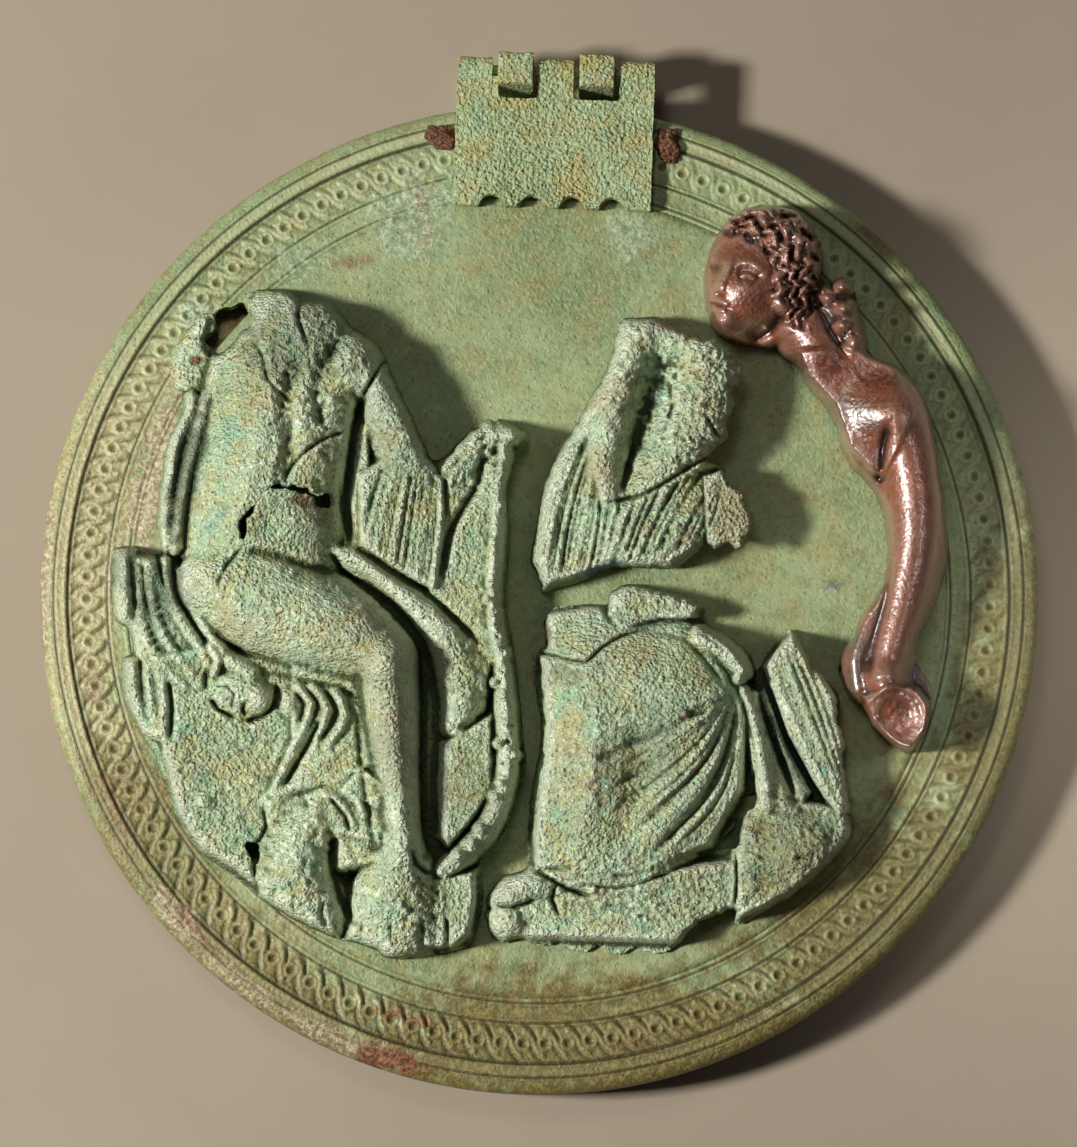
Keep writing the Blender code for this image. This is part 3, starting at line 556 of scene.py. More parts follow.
def rows_of(mesh: bpy.types.Mesh, values: str = "co") -> Points:
    """The places or the normals of a mesh's points, one row for each."""
    found = np.empty(len(mesh.vertices) * 3)
    mesh.vertices.foreach_get(values, found)
    return found.reshape(-1, 3)


def places_of(work: bmesh.types.BMesh) -> Points:
    """The places of the points in work, one row for each."""
    return np.array([v.co for v in work.verts])


def move_points(work: bmesh.types.BMesh, places: Points) -> None:
    """Puts each point in work at its place."""
    for vert, place in zip(work.verts, places):
        vert.co = place


def keep_points(work: bmesh.types.BMesh, keep: Points) -> None:
    """Deletes the points that aren't kept, and then those that have no face left."""
    bmesh.ops.delete(work, geom=[v for v, kept in zip(list(work.verts), keep) if not kept], context="VERTS")
    bmesh.ops.delete(work, geom=[v for v in work.verts if not v.link_faces], context="VERTS")


def mesh_of(work: bmesh.types.BMesh, name: str) -> bpy.types.Mesh:
    """Makes a mesh of the work and frees it."""
    mesh = bpy.data.meshes.new(name)
    work.to_mesh(mesh)
    work.free()
    return mesh


def add_object(name: str, data: bpy.types.ID) -> bpy.types.Object:
    """Puts a mesh, a light or a camera in the scene."""
    obj = bpy.data.objects.new(name, data)
    bpy.context.scene.collection.objects.link(obj)
    return obj


@dataclass(frozen=True)
class Place:
    """Where a piece belongs.

    Args:
        body: The body that it rides on.
        slot: Name of a material slot. It is not used.
        node: Name of the solid that it stands for, if there is one.
    """

    body: str
    slot: str
    node: str = ""

    def fill(self, mesh: bpy.types.Mesh, material: bpy.types.Material) -> bpy.types.Object:
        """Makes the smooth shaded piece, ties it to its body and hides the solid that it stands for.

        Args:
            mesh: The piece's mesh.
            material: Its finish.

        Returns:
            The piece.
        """
        obj = add_object(mesh.name, mesh)
        mesh.materials.append(material)
        mesh.shade_smooth()
        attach(obj, self.body)
        if self.node:
            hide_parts(self.node)
        log.info("%s: %d faces", obj.name, len(mesh.polygons))
        return obj


def thicken(obj: bpy.types.Object, thickness: float) -> None:
    """Gives a sheet its thickness, downwards from its outer face."""
    solid = obj.modifiers.new("sheet", "SOLIDIFY")
    solid.thickness = thickness
    solid.offset = -1.0


def blurred(values: Points, cells: int) -> Points:
    """A grid of values averaged over squares, twice over.

    Args:
        values: The grid.
        cells: How many cells each way a square reaches.

    Returns:
        The averages, in a grid of the same size.
    """
    width = 2 * cells + 1
    for _ in range(2):
        for axis in (0, 1):
            margins = [(cells + 1, cells) if a == axis else (0, 0) for a in (0, 1)]
            padded = np.pad(values, margins, mode="edge")
            total = np.cumsum(padded, axis=axis)
            ahead = np.take(total, np.arange(width, total.shape[axis]), axis=axis)
            behind = np.take(total, np.arange(0, total.shape[axis] - width), axis=axis)
            values = (ahead - behind) / width
    return values


def crust_noise(x: Points, y: Points) -> Points:
    """Lumps, curled ridges and pits of a corroded sheet.

    Args:
        x: Places across the drawing.
        y: Places down the drawing.

    Returns:
        Values from about -1 to 1.
    """
    bend_x = x + 5.0 * lattice_noise(x, y, 17.0, 14)
    bend_y = y + 5.0 * lattice_noise(x, y, 17.0, 15)
    lumps = 0.5 * lattice_noise(bend_x, bend_y, 13.0, 11)
    ridges = 1.0 - 3.2 * np.abs(lattice_noise(bend_x, bend_y, 9.0, 12))
    grit = 0.85 * lattice_noise(bend_x, bend_y, 5.0, 13) + 0.6 * lattice_noise(x, y, 3.2, 16)
    return lumps + 0.26 * np.clip(ridges, -1.0, 1.0) + grit


@dataclass
class Relief:
    """A hollow fragment of beaten sheet.

    Args:
        name: Name of the piece.
        node: Name of the solid it stands for.
        slot: The record's material slot.
        step: Distance between the mesh's points on the drawing.
        outline: Corners, with a third value for the share of the height that a torn edge keeps.
        forms: Rounded and flat forms that the sheet is beaten over.
        creases: Grooves, ridges and dents worked into it.
        holes: Outlines of its holes.
        stains: Ovals of each local colour.
        crusts: Ovals that are rougher than the rest, each with its depth in mm.
        grain: Depth in mm of the corroded surface elsewhere.
        edge: Width on the drawing of the rounding along its outline.
        ragged: How uneven its outline is.
        walled: Whether its edge goes straight down to the cover.
    """

    name: str
    node: str
    slot: str
    step: float
    outline: Rows
    forms: list[Worked | Mass]
    creases: list[Crease | Dent]
    holes: list[Rows] = field(default_factory=list)
    # stains: Ovals of each local colour and of painted shade.
    stains: Stains = field(default_factory=dict)
    crusts: Rows = field(default_factory=list)
    grain: float = 0.15
    edge: float = 11.0
    ragged: float = 1.0
    walled: bool = False

    def loops(self) -> list[Points]:
        """The outline and the holes as closed curves, the torn edges uneven."""
        rows = [point if len(point) == 3 else (*point, 0.0) for point in self.outline]
        curves = [smooth_path(rows, 4.0, closed=True)]
        curves += [smooth_path([(*p, 0.5) for p in hole], 3.0, closed=True) for hole in self.holes]
        for curve in curves:
            ragged = self.ragged * (0.9 + 1.9 * curve[:, 2])
            curve[:, 0] += ragged * lattice_noise(curve[:, 0], curve[:, 1], 5.0, 1)
            curve[:, 1] += ragged * lattice_noise(curve[:, 0], curve[:, 1], 5.0, 2)
        return curves

    def rise(self, x: Points, y: Points, outline: Points) -> Points:
        """The height of the sheet's upper face above the cover.

        Args:
            x: Places across the drawing.
            y: Places down the drawing.
            outline: The fragment's outline as a closed curve.

        Returns:
            One height in metres for each point.
        """
        total = sum(form.at(x, y) ** SOFTNESS for form in self.forms) ** (1.0 / SOFTNESS)
        for crease in self.creases:
            total -= crease.at(x, y)
        rough = np.full_like(x, self.grain)
        for crust in self.crusts:
            rough = np.maximum(rough, Crust(*crust).at(x, y))
        total += rough * crust_noise(x, y)
        nearest = np.full_like(x, 1e9)
        kept = np.zeros_like(x)
        for start, end, share, gap in along_segments(x, y, outline, closed=True):
            torn = start[2] + (end[2] - start[2]) * share
            kept = np.where(gap < nearest, torn, kept)
            nearest = np.minimum(nearest, gap)
        slope = np.sqrt(1.0 - (1.0 - np.clip(nearest / self.edge, 0.0, 1.0)) ** 2)
        total = total * (kept + (1.0 - kept) * slope) * MM
        return np.clip(total, SHEET, HIGHEST_RISE)

    def hollows(self, rise: Points, keep: Points) -> Points:
        """How hollow the sheet is, from its height against that of its surroundings.

        Args:
            rise: The grid of heights.
            keep: Which of its points are in the fragment.

        Returns:
            One value for each point, 0.5 where the sheet is even and near its edge.
        """
        close = blurred(rise, round(4.0 / self.step)) - rise
        wide = blurred(rise, round(14.0 / self.step)) - rise
        from_edge = blurred(keep.astype(float), round(0.5 * self.edge / self.step))
        # The close term marks patina in recesses; the wide term paints shade into broad valleys.
        depth = close / CLOSE_HOLLOW + wide / WIDE_HOLLOW
        return (0.5 + depth * np.clip(from_edge * 2.5 - 1.4, 0.0, 1.0)).ravel()

    @staticmethod
    def nearest_on(loops: list[Points], x: Points, y: Points) -> tuple[Points, Points]:
        """The places on closed curves that are nearest to points.

        Args:
            loops: The curves.
            x: Places across the drawing.
            y: Places down the drawing.

        Returns:
            Places across and down the drawing.
        """
        best = np.full(len(x), 1e9)
        new_x, new_y = x.copy(), y.copy()
        for loop in loops:
            for start, end, share, gap in along_segments(x, y, loop, closed=True):
                closer = gap < best
                best = np.where(closer, gap, best)
                new_x = np.where(closer, start[0] + (end[0] - start[0]) * share, new_x)
                new_y = np.where(closer, start[1] + (end[1] - start[1]) * share, new_y)
        return new_x, new_y

    @staticmethod
    def add_wall(work: bmesh.types.BMesh) -> Points:
        """Takes the sheet's edge straight down to the cover.

        Args:
            work: The sheet.

        Returns:
            For each point the number of the sheet's point that it comes from.
        """
        source_of = {tuple(v.co): v.index for v in work.verts}
        edges = [e for e in work.edges if e.is_boundary]
        made = bmesh.ops.extrude_edge_only(work, edges=edges)["geom"]
        work.verts.index_update()
        source = np.array([source_of[tuple(v.co)] for v in work.verts])
        for vert in made:
            if isinstance(vert, bmesh.types.BMVert):
                vert.co.z = WALL_FOOT
        return source

    def make(self, material: bpy.types.Material) -> None:
        """Builds the fragment and puts it in its solid's place.

        Args:
            material: Its finish.
        """
        loops = self.loops()
        low, high = loops[0][:, :2].min(axis=0), loops[0][:, :2].max(axis=0)
        across, down = (int(n) for n in np.ceil((high - low) / self.step))
        work = bmesh.new()
        bmesh.ops.create_grid(work, x_segments=across, y_segments=down, size=0.5)
        places = places_of(work)
        x = low[0] + (places[:, 0] + 0.5) * across * self.step
        y = low[1] + (places[:, 1] + 0.5) * down * self.step
        rise = self.rise(x, y, loops[0])
        keep = inside(x, y, loops[0][:, :2])
        for hole in loops[1:]:
            keep &= ~inside(x, y, hole[:, :2])
        hollow = self.hollows(rise.reshape(-1, across + 1), keep.reshape(-1, across + 1))
        keep_points(work, keep)
        column, row = np.rint((places_of(work)[:, :2] + 0.5) * (across, down)).astype(int).T
        left = row * (across + 1) + column
        x, y, rise, hollow = x[left], y[left], rise[left], hollow[left]
        work.verts.index_update()
        rim = np.array([v.index for v in work.verts if v.is_boundary])
        x[rim], y[rim] = self.nearest_on(loops, x[rim], y[rim])
        rise[rim] = self.rise(x[rim], y[rim], loops[0])
        move_points(work, in_relief(x, y, rise))
        if self.walled:
            source = self.add_wall(work)
            x, y, hollow = x[source], y[source], hollow[source]
        bmesh.ops.recalc_face_normals(work, faces=work.faces[:])
        if sum(f.normal.z for f in work.faces) < 0.0:
            bmesh.ops.reverse_faces(work, faces=work.faces[:])
        mesh = mesh_of(work, self.name)
        set_masks(mesh, stain_masks(self.stains, x, y), hollow)
        thicken(Place(COVER_BODY, self.slot, self.node).fill(mesh, material), SHEET * 0.9)


def seated_figure() -> Relief:
    """The headless seated figure on a rock, with a lion's skin, a cloth and a knotted club."""
    outline = [
        (245, 284, 0.5), (267, 277, 0.4), (288, 279, 0.4), (304, 288, 0.3), (330, 291, 0.3), (341, 301),
        (352, 316), (375, 331), (385, 347), (400, 384), (413, 410), (424, 438), (436, 456), (459, 436),
        (477, 420, 0.4), (491, 413, 0.6), (514, 420, 0.6), (526, 428, 0.6), (520, 440, 0.4), (511, 468),
        (507, 489), (509, 535), (507, 567), (505, 601), (511, 636), (516, 670), (520, 704), (523, 745),
        (526, 764), (521, 789), (514, 819), (503, 848), (486, 864), (481, 876), (482, 911), (475, 948),
        (464, 962), (439, 969), (391, 974), (372, 963), (332, 951), (292, 932), (257, 909), (229, 884),
        (200, 863), (178, 830), (167, 800), (155, 764), (150, 754), (139, 737), (124, 704), (122, 664),
        (132, 654), (128, 632), (113, 616), (111, 560), (116, 546), (134, 544), (146, 552), (160, 552),
        (161, 540, 0.4), (157, 520), (162, 470), (168, 436), (184, 398), (174, 374, 0.5), (171, 352, 0.5),
        (182, 328, 0.5), (198, 306, 0.5), (213, 302, 0.5), (216, 310, 0.5), (214, 320, 0.5),
        (205, 328, 0.5), (208, 341, 0.5), (221, 344, 0.6), (238, 326, 0.7), (251, 310, 0.7),
    ]
    holes = [
        [(271, 483), (282, 480), (300, 481), (318, 490), (332, 491), (333, 504), (319, 504), (314, 495),
            (293, 488)],
        [(257, 501), (249, 520), (243, 538), (238, 520)], [(245, 854), (259, 855), (257, 876)],
    ]
    forms = [
        Limb((300, 330, 66, 12), (290, 372, 84, 14.6), (278, 430, 84, 15.2), (262, 500, 82, 15),
            (262, 566, 80, 14)),
        Mass(304, 330, 78, 52, 10, 12.4), Mass(296, 524, 56, 46, 12, 13.4),
        Mass(352, 356, 34, 40, 24, 13.8),
        Limb((372, 372, 24, 13.6), (392, 414, 31, 13.2), (406, 450, 34, 12), (408, 474, 34, 11)),
        Slab(9.8, 12.0, (350, 466), (384, 444), (434, 446), (452, 474), (456, 520), (446, 606), (404, 584),
            (352, 548)),
        Limb((440, 486, 18, 8.6), (458, 458, 24, 9.8), (480, 436, 24, 10.2), (502, 430, 18, 9.2)),
        Mass(512, 429, 17, 13, 10, 10.6),
        Slab(8.6, 10.0, (420, 600), (430, 520), (446, 456), (480, 430), (504, 446), (504, 650), (488, 712),
            (440, 660)),
        Limb((504, 440, 11, 9.4), (501, 480, 11, 9.6), (498, 520, 11, 9.6), (494, 560, 12, 9.8),
            (493, 600, 12, 10), (497, 640, 13, 10.2), (502, 670, 13, 10.4), (505, 700, 14, 10.6),
            (507, 740, 14, 10.6), (507, 776, 14, 10.4), (500, 808, 15, 10.2), (486, 840, 15, 9.8),
            (467, 862, 15, 9.4), (444, 882, 13, 8.6)),
        Slab(7.2, 10.0, (434, 746), (498, 708), (500, 800), (474, 838), (448, 868), (432, 850), (430, 790)),
        Limb((336, 548, 9, 8.4), (352, 558, 15, 9.4), (376, 573, 20, 10.6), (402, 596, 24, 11),
            (430, 622, 28, 11.2), (450, 650, 31, 11), (461, 680, 31, 10.6), (463, 704, 27, 10),
            (454, 730, 18, 8.8)),
        Limb((214, 584, 40, 14.8), (256, 601, 56, 16.4), (300, 616, 58, 17.6), (346, 634, 50, 18),
            (384, 656, 38, 17.6)),
        Mass(386, 664, 35, 36, 10, 17.6),
        Limb((387, 672, 34, 17.6), (390, 712, 31, 16.4), (393, 752, 28, 15.2), (397, 792, 24, 14.2),
            (401, 832, 22, 13), (402, 862, 26, 12.2)),
        Limb((402, 856, 26, 12), (398, 892, 42, 12), (394, 926, 50, 11.2), (392, 948, 48, 10)),
        Slab(7.4, 12.0, (424, 884), (470, 876), (483, 872), (483, 912), (477, 952), (458, 968), (398, 972),
            (400, 900)),
        Limb((316, 820, 16, 9), (300, 850, 34, 11), (296, 890, 42, 11.4), (312, 924, 40, 9.6)),
        Slab(6.6, 8.0, (112, 548), (146, 550), (160, 556), (176, 604), (198, 640), (228, 660), (218, 690),
            (196, 704), (160, 690), (130, 660), (111, 622)),
        Slab(5.8, 6.0, (122, 664), (178, 676), (182, 720), (168, 758), (140, 742), (124, 706)),
        Slab(8.4, 10.0, (284, 660), (380, 664), (396, 720), (394, 770), (340, 796), (296, 808), (264, 816),
            (262, 798), (284, 760)),
        Slab(6.2, 5.0, (158, 550), (162, 470), (174, 420), (190, 384), (214, 384), (206, 440), (192, 500),
            (186, 552)),
        Slab(8.0, 10.0, (296, 800), (340, 776), (396, 770), (398, 866), (346, 852), (318, 866)),
        Slab(7.4, 14.0, (138, 650), (200, 640), (260, 650), (392, 660), (396, 816), (392, 880), (300, 900),
            (262, 912), (232, 888), (196, 866), (170, 826), (154, 760)),
        Mass(242, 694, 36, 28, 6, 10.6), Mass(260, 704, 20, 20, 0, 11.2), Mass(288, 708, 12, 20, 0, 9.8),
        Limb((211, 650, 7, 9.4), (218, 664, 8, 10), (214, 676, 7, 9.4)),
        Limb((214, 650, 14, 9), (230, 664, 14, 9.6), (252, 676, 12, 9.6)),
        Limb((299, 692, 7, 9.4), (311, 708, 7, 9.8), (305, 732, 6, 9)),
        Limb((313, 690, 7, 9.8), (328, 714, 7, 10.2), (316, 744, 6, 9.4)),
        Limb((336, 696, 9, 10.4), (345, 722, 8, 10.2), (327, 754, 7, 9.4)),
        Limb((306, 728, 6, 8.6), (291, 758, 7, 9), (277, 788, 6, 8.6), (266, 806, 5, 7.4)),
        Limb((344, 752, 12, 8), (306, 784, 12, 8), (272, 812, 9, 7.2)),
        Slab(9.2, 7.0, (361, 766), (388, 790), (384, 826), (332, 800)),
        Limb((326, 802, 8, 9), (342, 816, 8, 9.6), (352, 834, 7, 9)),
        Limb((346, 800, 7, 9.2), (358, 810, 7, 9.4), (364, 824, 6, 9)),
        Limb((326, 834, 6, 8.4), (319, 848, 6, 8.4), (327, 858, 6, 8)),
        Limb((125, 552, 13, 8), (125, 590, 13, 8), (124, 617, 12, 7.6)),
        Limb((150, 560, 8, 6.2), (151, 592, 8, 6.8), (158, 624, 8, 7.4), (172, 652, 8, 8),
            (192, 678, 8, 8)),
        Limb((165, 560, 7, 6.2), (169, 590, 8, 7), (181, 620, 9, 8), (200, 650, 9, 8.6),
            (212, 674, 8, 8.4)),
        Limb((179, 570, 5, 6), (188, 600, 7, 7), (205, 630, 9, 8), (222, 650, 9, 8.6)),
        Limb((138, 596, 7, 6), (146, 638, 8, 7), (163, 668, 8, 7.6), (184, 690, 8, 8)),
        Limb((132, 667, 11, 7.4), (133, 690, 12, 7.6), (139, 714, 11, 7)),
        Limb((147, 668, 9, 7.2), (150, 700, 10, 7.6), (157, 738, 10, 7)),
        Limb((160, 680, 7, 7), (164, 708, 7, 7.4), (160, 740, 8, 6.8)),
        Slab(4.2, 8.0, (112, 600), (136, 596), (200, 680), (222, 720), (184, 800), (160, 790), (122, 704)),
        Limb((192, 390, 8, 7), (177, 430, 9, 7.6), (169, 470, 9, 7.8), (166, 510, 8, 7.2),
            (164, 546, 7, 6.2)),
        Limb((207, 388, 8, 8), (197, 430, 9, 8.6), (187, 470, 9, 8.8), (180, 510, 8, 8.2),
            (175, 548, 7, 7)),
        Slab(2.4, 6.0, (172, 350), (185, 322), (198, 304), (214, 302), (206, 330), (212, 345), (222, 350),
            (212, 384), (190, 394), (172, 376)),
        Slab(6.8, 6.0, (334, 420), (372, 410), (376, 560), (340, 560)),
        Mass(204, 809, 13, 12, 0, 8.6),
        *[Mass(x, y, 9, 8, 0, 11.8) for x, y in ((492, 584), (494, 613), (500, 643), (503, 672),
            (504, 700))],
        *[Mass(x, y, 9, 9, 0, 12.0) for x, y in ((507, 727), (509, 771), (494, 805), (480, 838),
            (458, 866))],
        *[Mass(x, y, 7, 8, 0, 11.2) for x, y in ((487, 600), (508, 655), (494, 686), (498, 750),
            (516, 762))],
        *[Mass(x, y, 7, 7, 0, 11.0) for x, y in ((502, 462), (503, 502), (494, 540), (500, 790),
            (472, 852))],
    ]
    creases = [
        Crease(5, 4.6, (366, 386), (356, 416), (350, 460), (346, 500), (350, 540)),
        Crease(2.0, 3.0, (384, 352), (374, 368), (364, 388)),
        Crease(8, 4.4, (350, 566), (378, 592), (404, 620), (426, 656), (431, 700), (431, 760), (431, 820),
            (428, 866)),
        Crease(6, 2.0, (244, 549), (270, 552), (300, 562), (336, 574)),
        Dent(300, 524, 44, 30, 8, 1.6), Dent(240, 372, 22, 50, 14, 0.8),
        Crease(9, 1.8, (300, 350), (286, 400), (290, 450), (278, 482)),
        Crease(8, 1.2, (340, 330), (318, 372), (322, 420)),
        Crease(8, -0.7, (262, 420), (250, 470), (236, 520)),
        Crease(1.8, 1.2, (251, 331), (262, 345), (267, 370), (280, 384), (292, 396)),
        Crease(1.8, 1.5, (346, 426), (322, 434), (300, 452), (288, 468), (284, 482)),
        Crease(1.8, 1.1, (303, 284), (298, 304), (306, 330)),
        Crease(2.0, 1.2, (242, 546), (226, 566), (218, 584)),
        Crease(5, 3.6, (333, 846), (333, 880), (342, 914), (352, 934)),
        Crease(4, 2.0, (484, 444), (478, 478), (464, 504), (450, 532), (442, 574)),
        Crease(4, 2.4, (360, 548), (392, 572), (424, 592), (450, 616), (478, 644)),
        Crease(2.4, 2.0, (169, 686), (172, 716), (170, 744)),
        Crease(3, 1.2, (206, 694), (206, 678), (216, 668)),
        Crease(4, 1.1, (272, 676), (304, 684), (340, 692), (356, 704)),
        Crease(3, 0.9, (357, 720), (361, 770), (368, 820), (374, 860)),
        *pleats(3, 2.0, 1.3, [(296, 696), (304, 708), (299, 728)], [(323, 694), (337, 716), (320, 746)]),
        Crease(1.6, 1.6, (216, 691), (227, 690), (234, 699), (231, 712)),
        Crease(1.4, 1.0, (218, 698), (224, 696), (229, 701), (224, 706)),
        Crease(2.0, 2.2, (211, 704), (219, 715), (234, 722)),
        Crease(2.6, 2.4, (244, 726), (262, 722), (274, 708), (277, 690)),
        Crease(1.8, 1.2, (246, 704), (243, 714), (246, 722)),
        Crease(3.0, 2.5, (320, 728), (304, 758), (284, 794)),
        *pleats(10, 1.9, 0.8, [(384, 458), (370, 506), (362, 548)], [(446, 470), (444, 530), (436, 596)]),
        *pleats(3, 1.8, 0.9, [(448, 470), (462, 450), (488, 428)], [(462, 490), (474, 468), (496, 446)]),
        *hatching(8.0, 4.5, 3.0, 1.7, 0.5, (152, 600), (172, 652), (192, 680)),
        *hatching(8.0, 4.5, 3.0, 1.7, 0.5, (174, 604), (200, 650), (212, 674)),
        *hatching(8.0, 4.5, 3.0, 1.7, 0.5, (146, 626), (163, 668), (184, 690)),
        *hatching(6.5, 5.0, 3.0, 1.5, 0.9, (168, 460), (166, 510), (165, 544)),
        *pleats(2, 2.0, 1.2, [(130, 556), (132, 586), (136, 612)], [(142, 560), (144, 590), (150, 616)]),
        Crease(1.8, 1.6, (262, 816), (266, 837), (257, 855), (254, 883), (259, 906)),
        Crease(2.6, 2.4, (330, 806), (346, 826), (350, 840)),
        *pleats(4, 2.2, 1.2, [(362, 936), (360, 950), (366, 962)], [(446, 932), (448, 950), (446, 964)]),
        *pleats(3, 2.2, 1.0, [(276, 896), (272, 910), (276, 922)], [(322, 916), (322, 930), (328, 944)]),
        Crease(2.4, 2.0, (411, 860), (416, 876), (428, 886)),
        *[Crease(2.2, 2.0, (x - 2, y - 2), (x + 2, y + 2)) for x, y in ((511, 730), (504, 771), (498, 640),
            (494, 612), (502, 672), (508, 748), (492, 806), (478, 838))],
    ]
    crusts = [
        (318, 352, 66, 84, 0, 0.46), (300, 460, 46, 50, 0, 0.34), (396, 440, 34, 70, -24, 0.36),
        (470, 452, 50, 44, 0, 0.40), (300, 612, 110, 60, 20, 0.30), (470, 690, 40, 160, 0, 0.30),
        (400, 900, 90, 70, 0, 0.42), (290, 880, 60, 60, 0, 0.36), (230, 780, 80, 100, 0, 0.32),
        (396, 800, 30, 60, 0, 0.26),
    ]
    stains = {
        Tint.RUST: [(196, 351, 7, 5), (304, 498, 18, 7, 10, 0.8), (322, 512, 16, 12, 40, 0.45)],
        Tint.MINT: [
            (128, 690, 12, 30, 0, 0.35), (190, 770, 30, 24, 0, 0.3), (360, 640, 10, 7, 0, 0.6),
            (408, 446, 9, 9, 0, 0.6), (334, 306, 20, 9, 30, 0.5),
        ],
        Tint.TAN: [
            (262, 380, 30, 40, 0, 0.5), (370, 650, 50, 36, 20, 0.55), (392, 740, 20, 60, 0, 0.35),
            (250, 640, 40, 30, 30, 0.4), (300, 700, 50, 20, 30, 0.4),
        ],
        # Painted shade on the chest, beside the arm and the club, on the left strand and under the mane.
        Tint.DARK: [
            (300, 330, 60, 46, 0, 0.55), (392, 430, 26, 66, -20, 0.3), (186, 470, 14, 90, 12, 0.9),
            (160, 588, 30, 40, 0, 0.75), (124, 566, 14, 26, 0, 0.5), (470, 800, 24, 60, 0, 0.35),
        ],
        Tint.OLIVE: [(392, 760, 20, 70, 0, 0.22)],
    }
    return Relief("beaten_seated_figure", "relief_seated_figure", "relief_patina", 2.06, outline, forms,
        creases, holes, stains, crusts)


def torso_fragment() -> Relief:
    """The upper fragment of the second figure: bust, bent arm and the gathered dress."""
    outline = [
        (621, 311, 0.3), (646, 306, 0.4), (659, 308, 0.5), (671, 313, 0.5), (686, 322, 0.7),
        (700, 327, 0.8), (718, 332, 0.8), (733, 344, 0.9), (742, 358, 0.9), (738, 372, 0.9),
        (730, 386, 0.9), (734, 396, 0.9), (728, 414, 0.9), (727, 431, 0.8), (718, 440, 0.7),
        (706, 453, 0.7), (713, 460, 0.8), (722, 464, 0.9), (730, 480, 0.9), (744, 488, 0.9),
        (747, 502, 0.9), (752, 517, 0.9), (746, 534, 0.9), (742, 547, 0.9), (728, 541, 0.8),
        (714, 547, 0.8), (706, 540, 0.6), (690, 556, 0.4), (676, 566, 0.4), (646, 568, 0.2),
        (617, 566, 0.2), (597, 572, 0.2), (580, 582, 0.2), (560, 586, 0.3), (544, 592, 0.3),
        (536, 572, 0.3), (530, 556, 0.2), (535, 532), (542, 490), (556, 452), (577, 416), (588, 392),
        (600, 374), (612, 343),
    ]
    forms = [
        Limb((640, 330, 34, 11), (626, 372, 32, 12.6), (612, 420, 30, 12.8), (606, 462, 29, 12.4),
            (608, 486, 22, 11.4)),
        Limb((708, 352, 38, 11.8), (702, 396, 46, 13.2), (678, 440, 48, 13.2), (652, 478, 34, 12)),
        Mass(674, 334, 60, 30, 20, 10.5),
        Limb((590, 480, 60, 9.6), (630, 520, 66, 10.8), (676, 508, 56, 10.6)),
        Slab(8.0, 14.0, (560, 450), (600, 420), (620, 488), (640, 494), (716, 452), (732, 500), (712, 548),
            (676, 572), (594, 580), (536, 600), (528, 550), (544, 480)),
        Slab(10.4, 5.0, (700, 470), (722, 462), (756, 488), (756, 552), (704, 552)),
        Slab(9.4, 16.0, (606, 330), (640, 290), (760, 330), (750, 440), (640, 490), (584, 430), (586, 380)),
        Limb((596, 392, 16, 8), (570, 450, 18, 8.8), (552, 510, 20, 9), (548, 566, 20, 8)),
    ]
    creases = [
        Crease(20, 2.4, (664, 336), (652, 380), (641, 424), (632, 462)),
        Crease(6, 0.6, (652, 372), (641, 414), (632, 446)),
        Crease(3, 2.0, (634, 440), (628, 462), (622, 484)),
        Crease(2.4, 1.5, (722, 446), (700, 456), (666, 478), (640, 492), (610, 498)),
        *pleats(10, 1.8, 0.7, [(584, 414), (556, 474), (542, 530), (537, 572)], [(596, 478), (600, 510),
            (596, 540), (590, 572)]),
        *pleats(8, 1.9, 0.7, [(610, 500), (604, 534), (598, 566)], [(704, 466), (676, 512), (654, 560)]),
        *pleats(4, 1.9, 0.6, [(710, 486), (690, 520), (676, 552)], [(722, 480), (714, 512), (702, 540)]),
        Crease(1.8, 1.0, (706, 408), (716, 428), (722, 434)),
        Crease(2.0, 1.0, (668, 372), (672, 400), (664, 424)),
    ]
    crusts = [
        (690, 400, 60, 80, 20, 0.50), (620, 360, 36, 60, 10, 0.42), (640, 530, 80, 50, 0, 0.34),
        (560, 520, 30, 70, 0, 0.22),
    ]
    stains = {
        Tint.RUST: [(660, 312, 26, 8, 20, 0.45), (690, 534, 18, 16, 0, 0.35), (650, 526, 10, 12, 0, 0.3)],
        Tint.MINT: [(656, 362, 8, 10, 0, 0.4), (646, 508, 7, 6, 0, 0.6)],
        Tint.TAN: [
            (732, 512, 26, 38), (736, 530, 10, 12), (616, 392, 20, 40, 20, 0.6), (596, 460, 16, 26, 0, 0.6),
            (704, 410, 20, 30, 0, 0.4),
        ],
        # Painted shade in the valley between the arm and the bust.
        Tint.DARK: [(644, 400, 14, 56, 14, 0.4)],
        Tint.BLUE: [(597, 570, 22, 7, -18)],
    }
    return Relief("beaten_torso_fragment", "relief_torso_fragment", "relief_patina", 1.45, outline, forms,
        creases, [], stains, crusts)


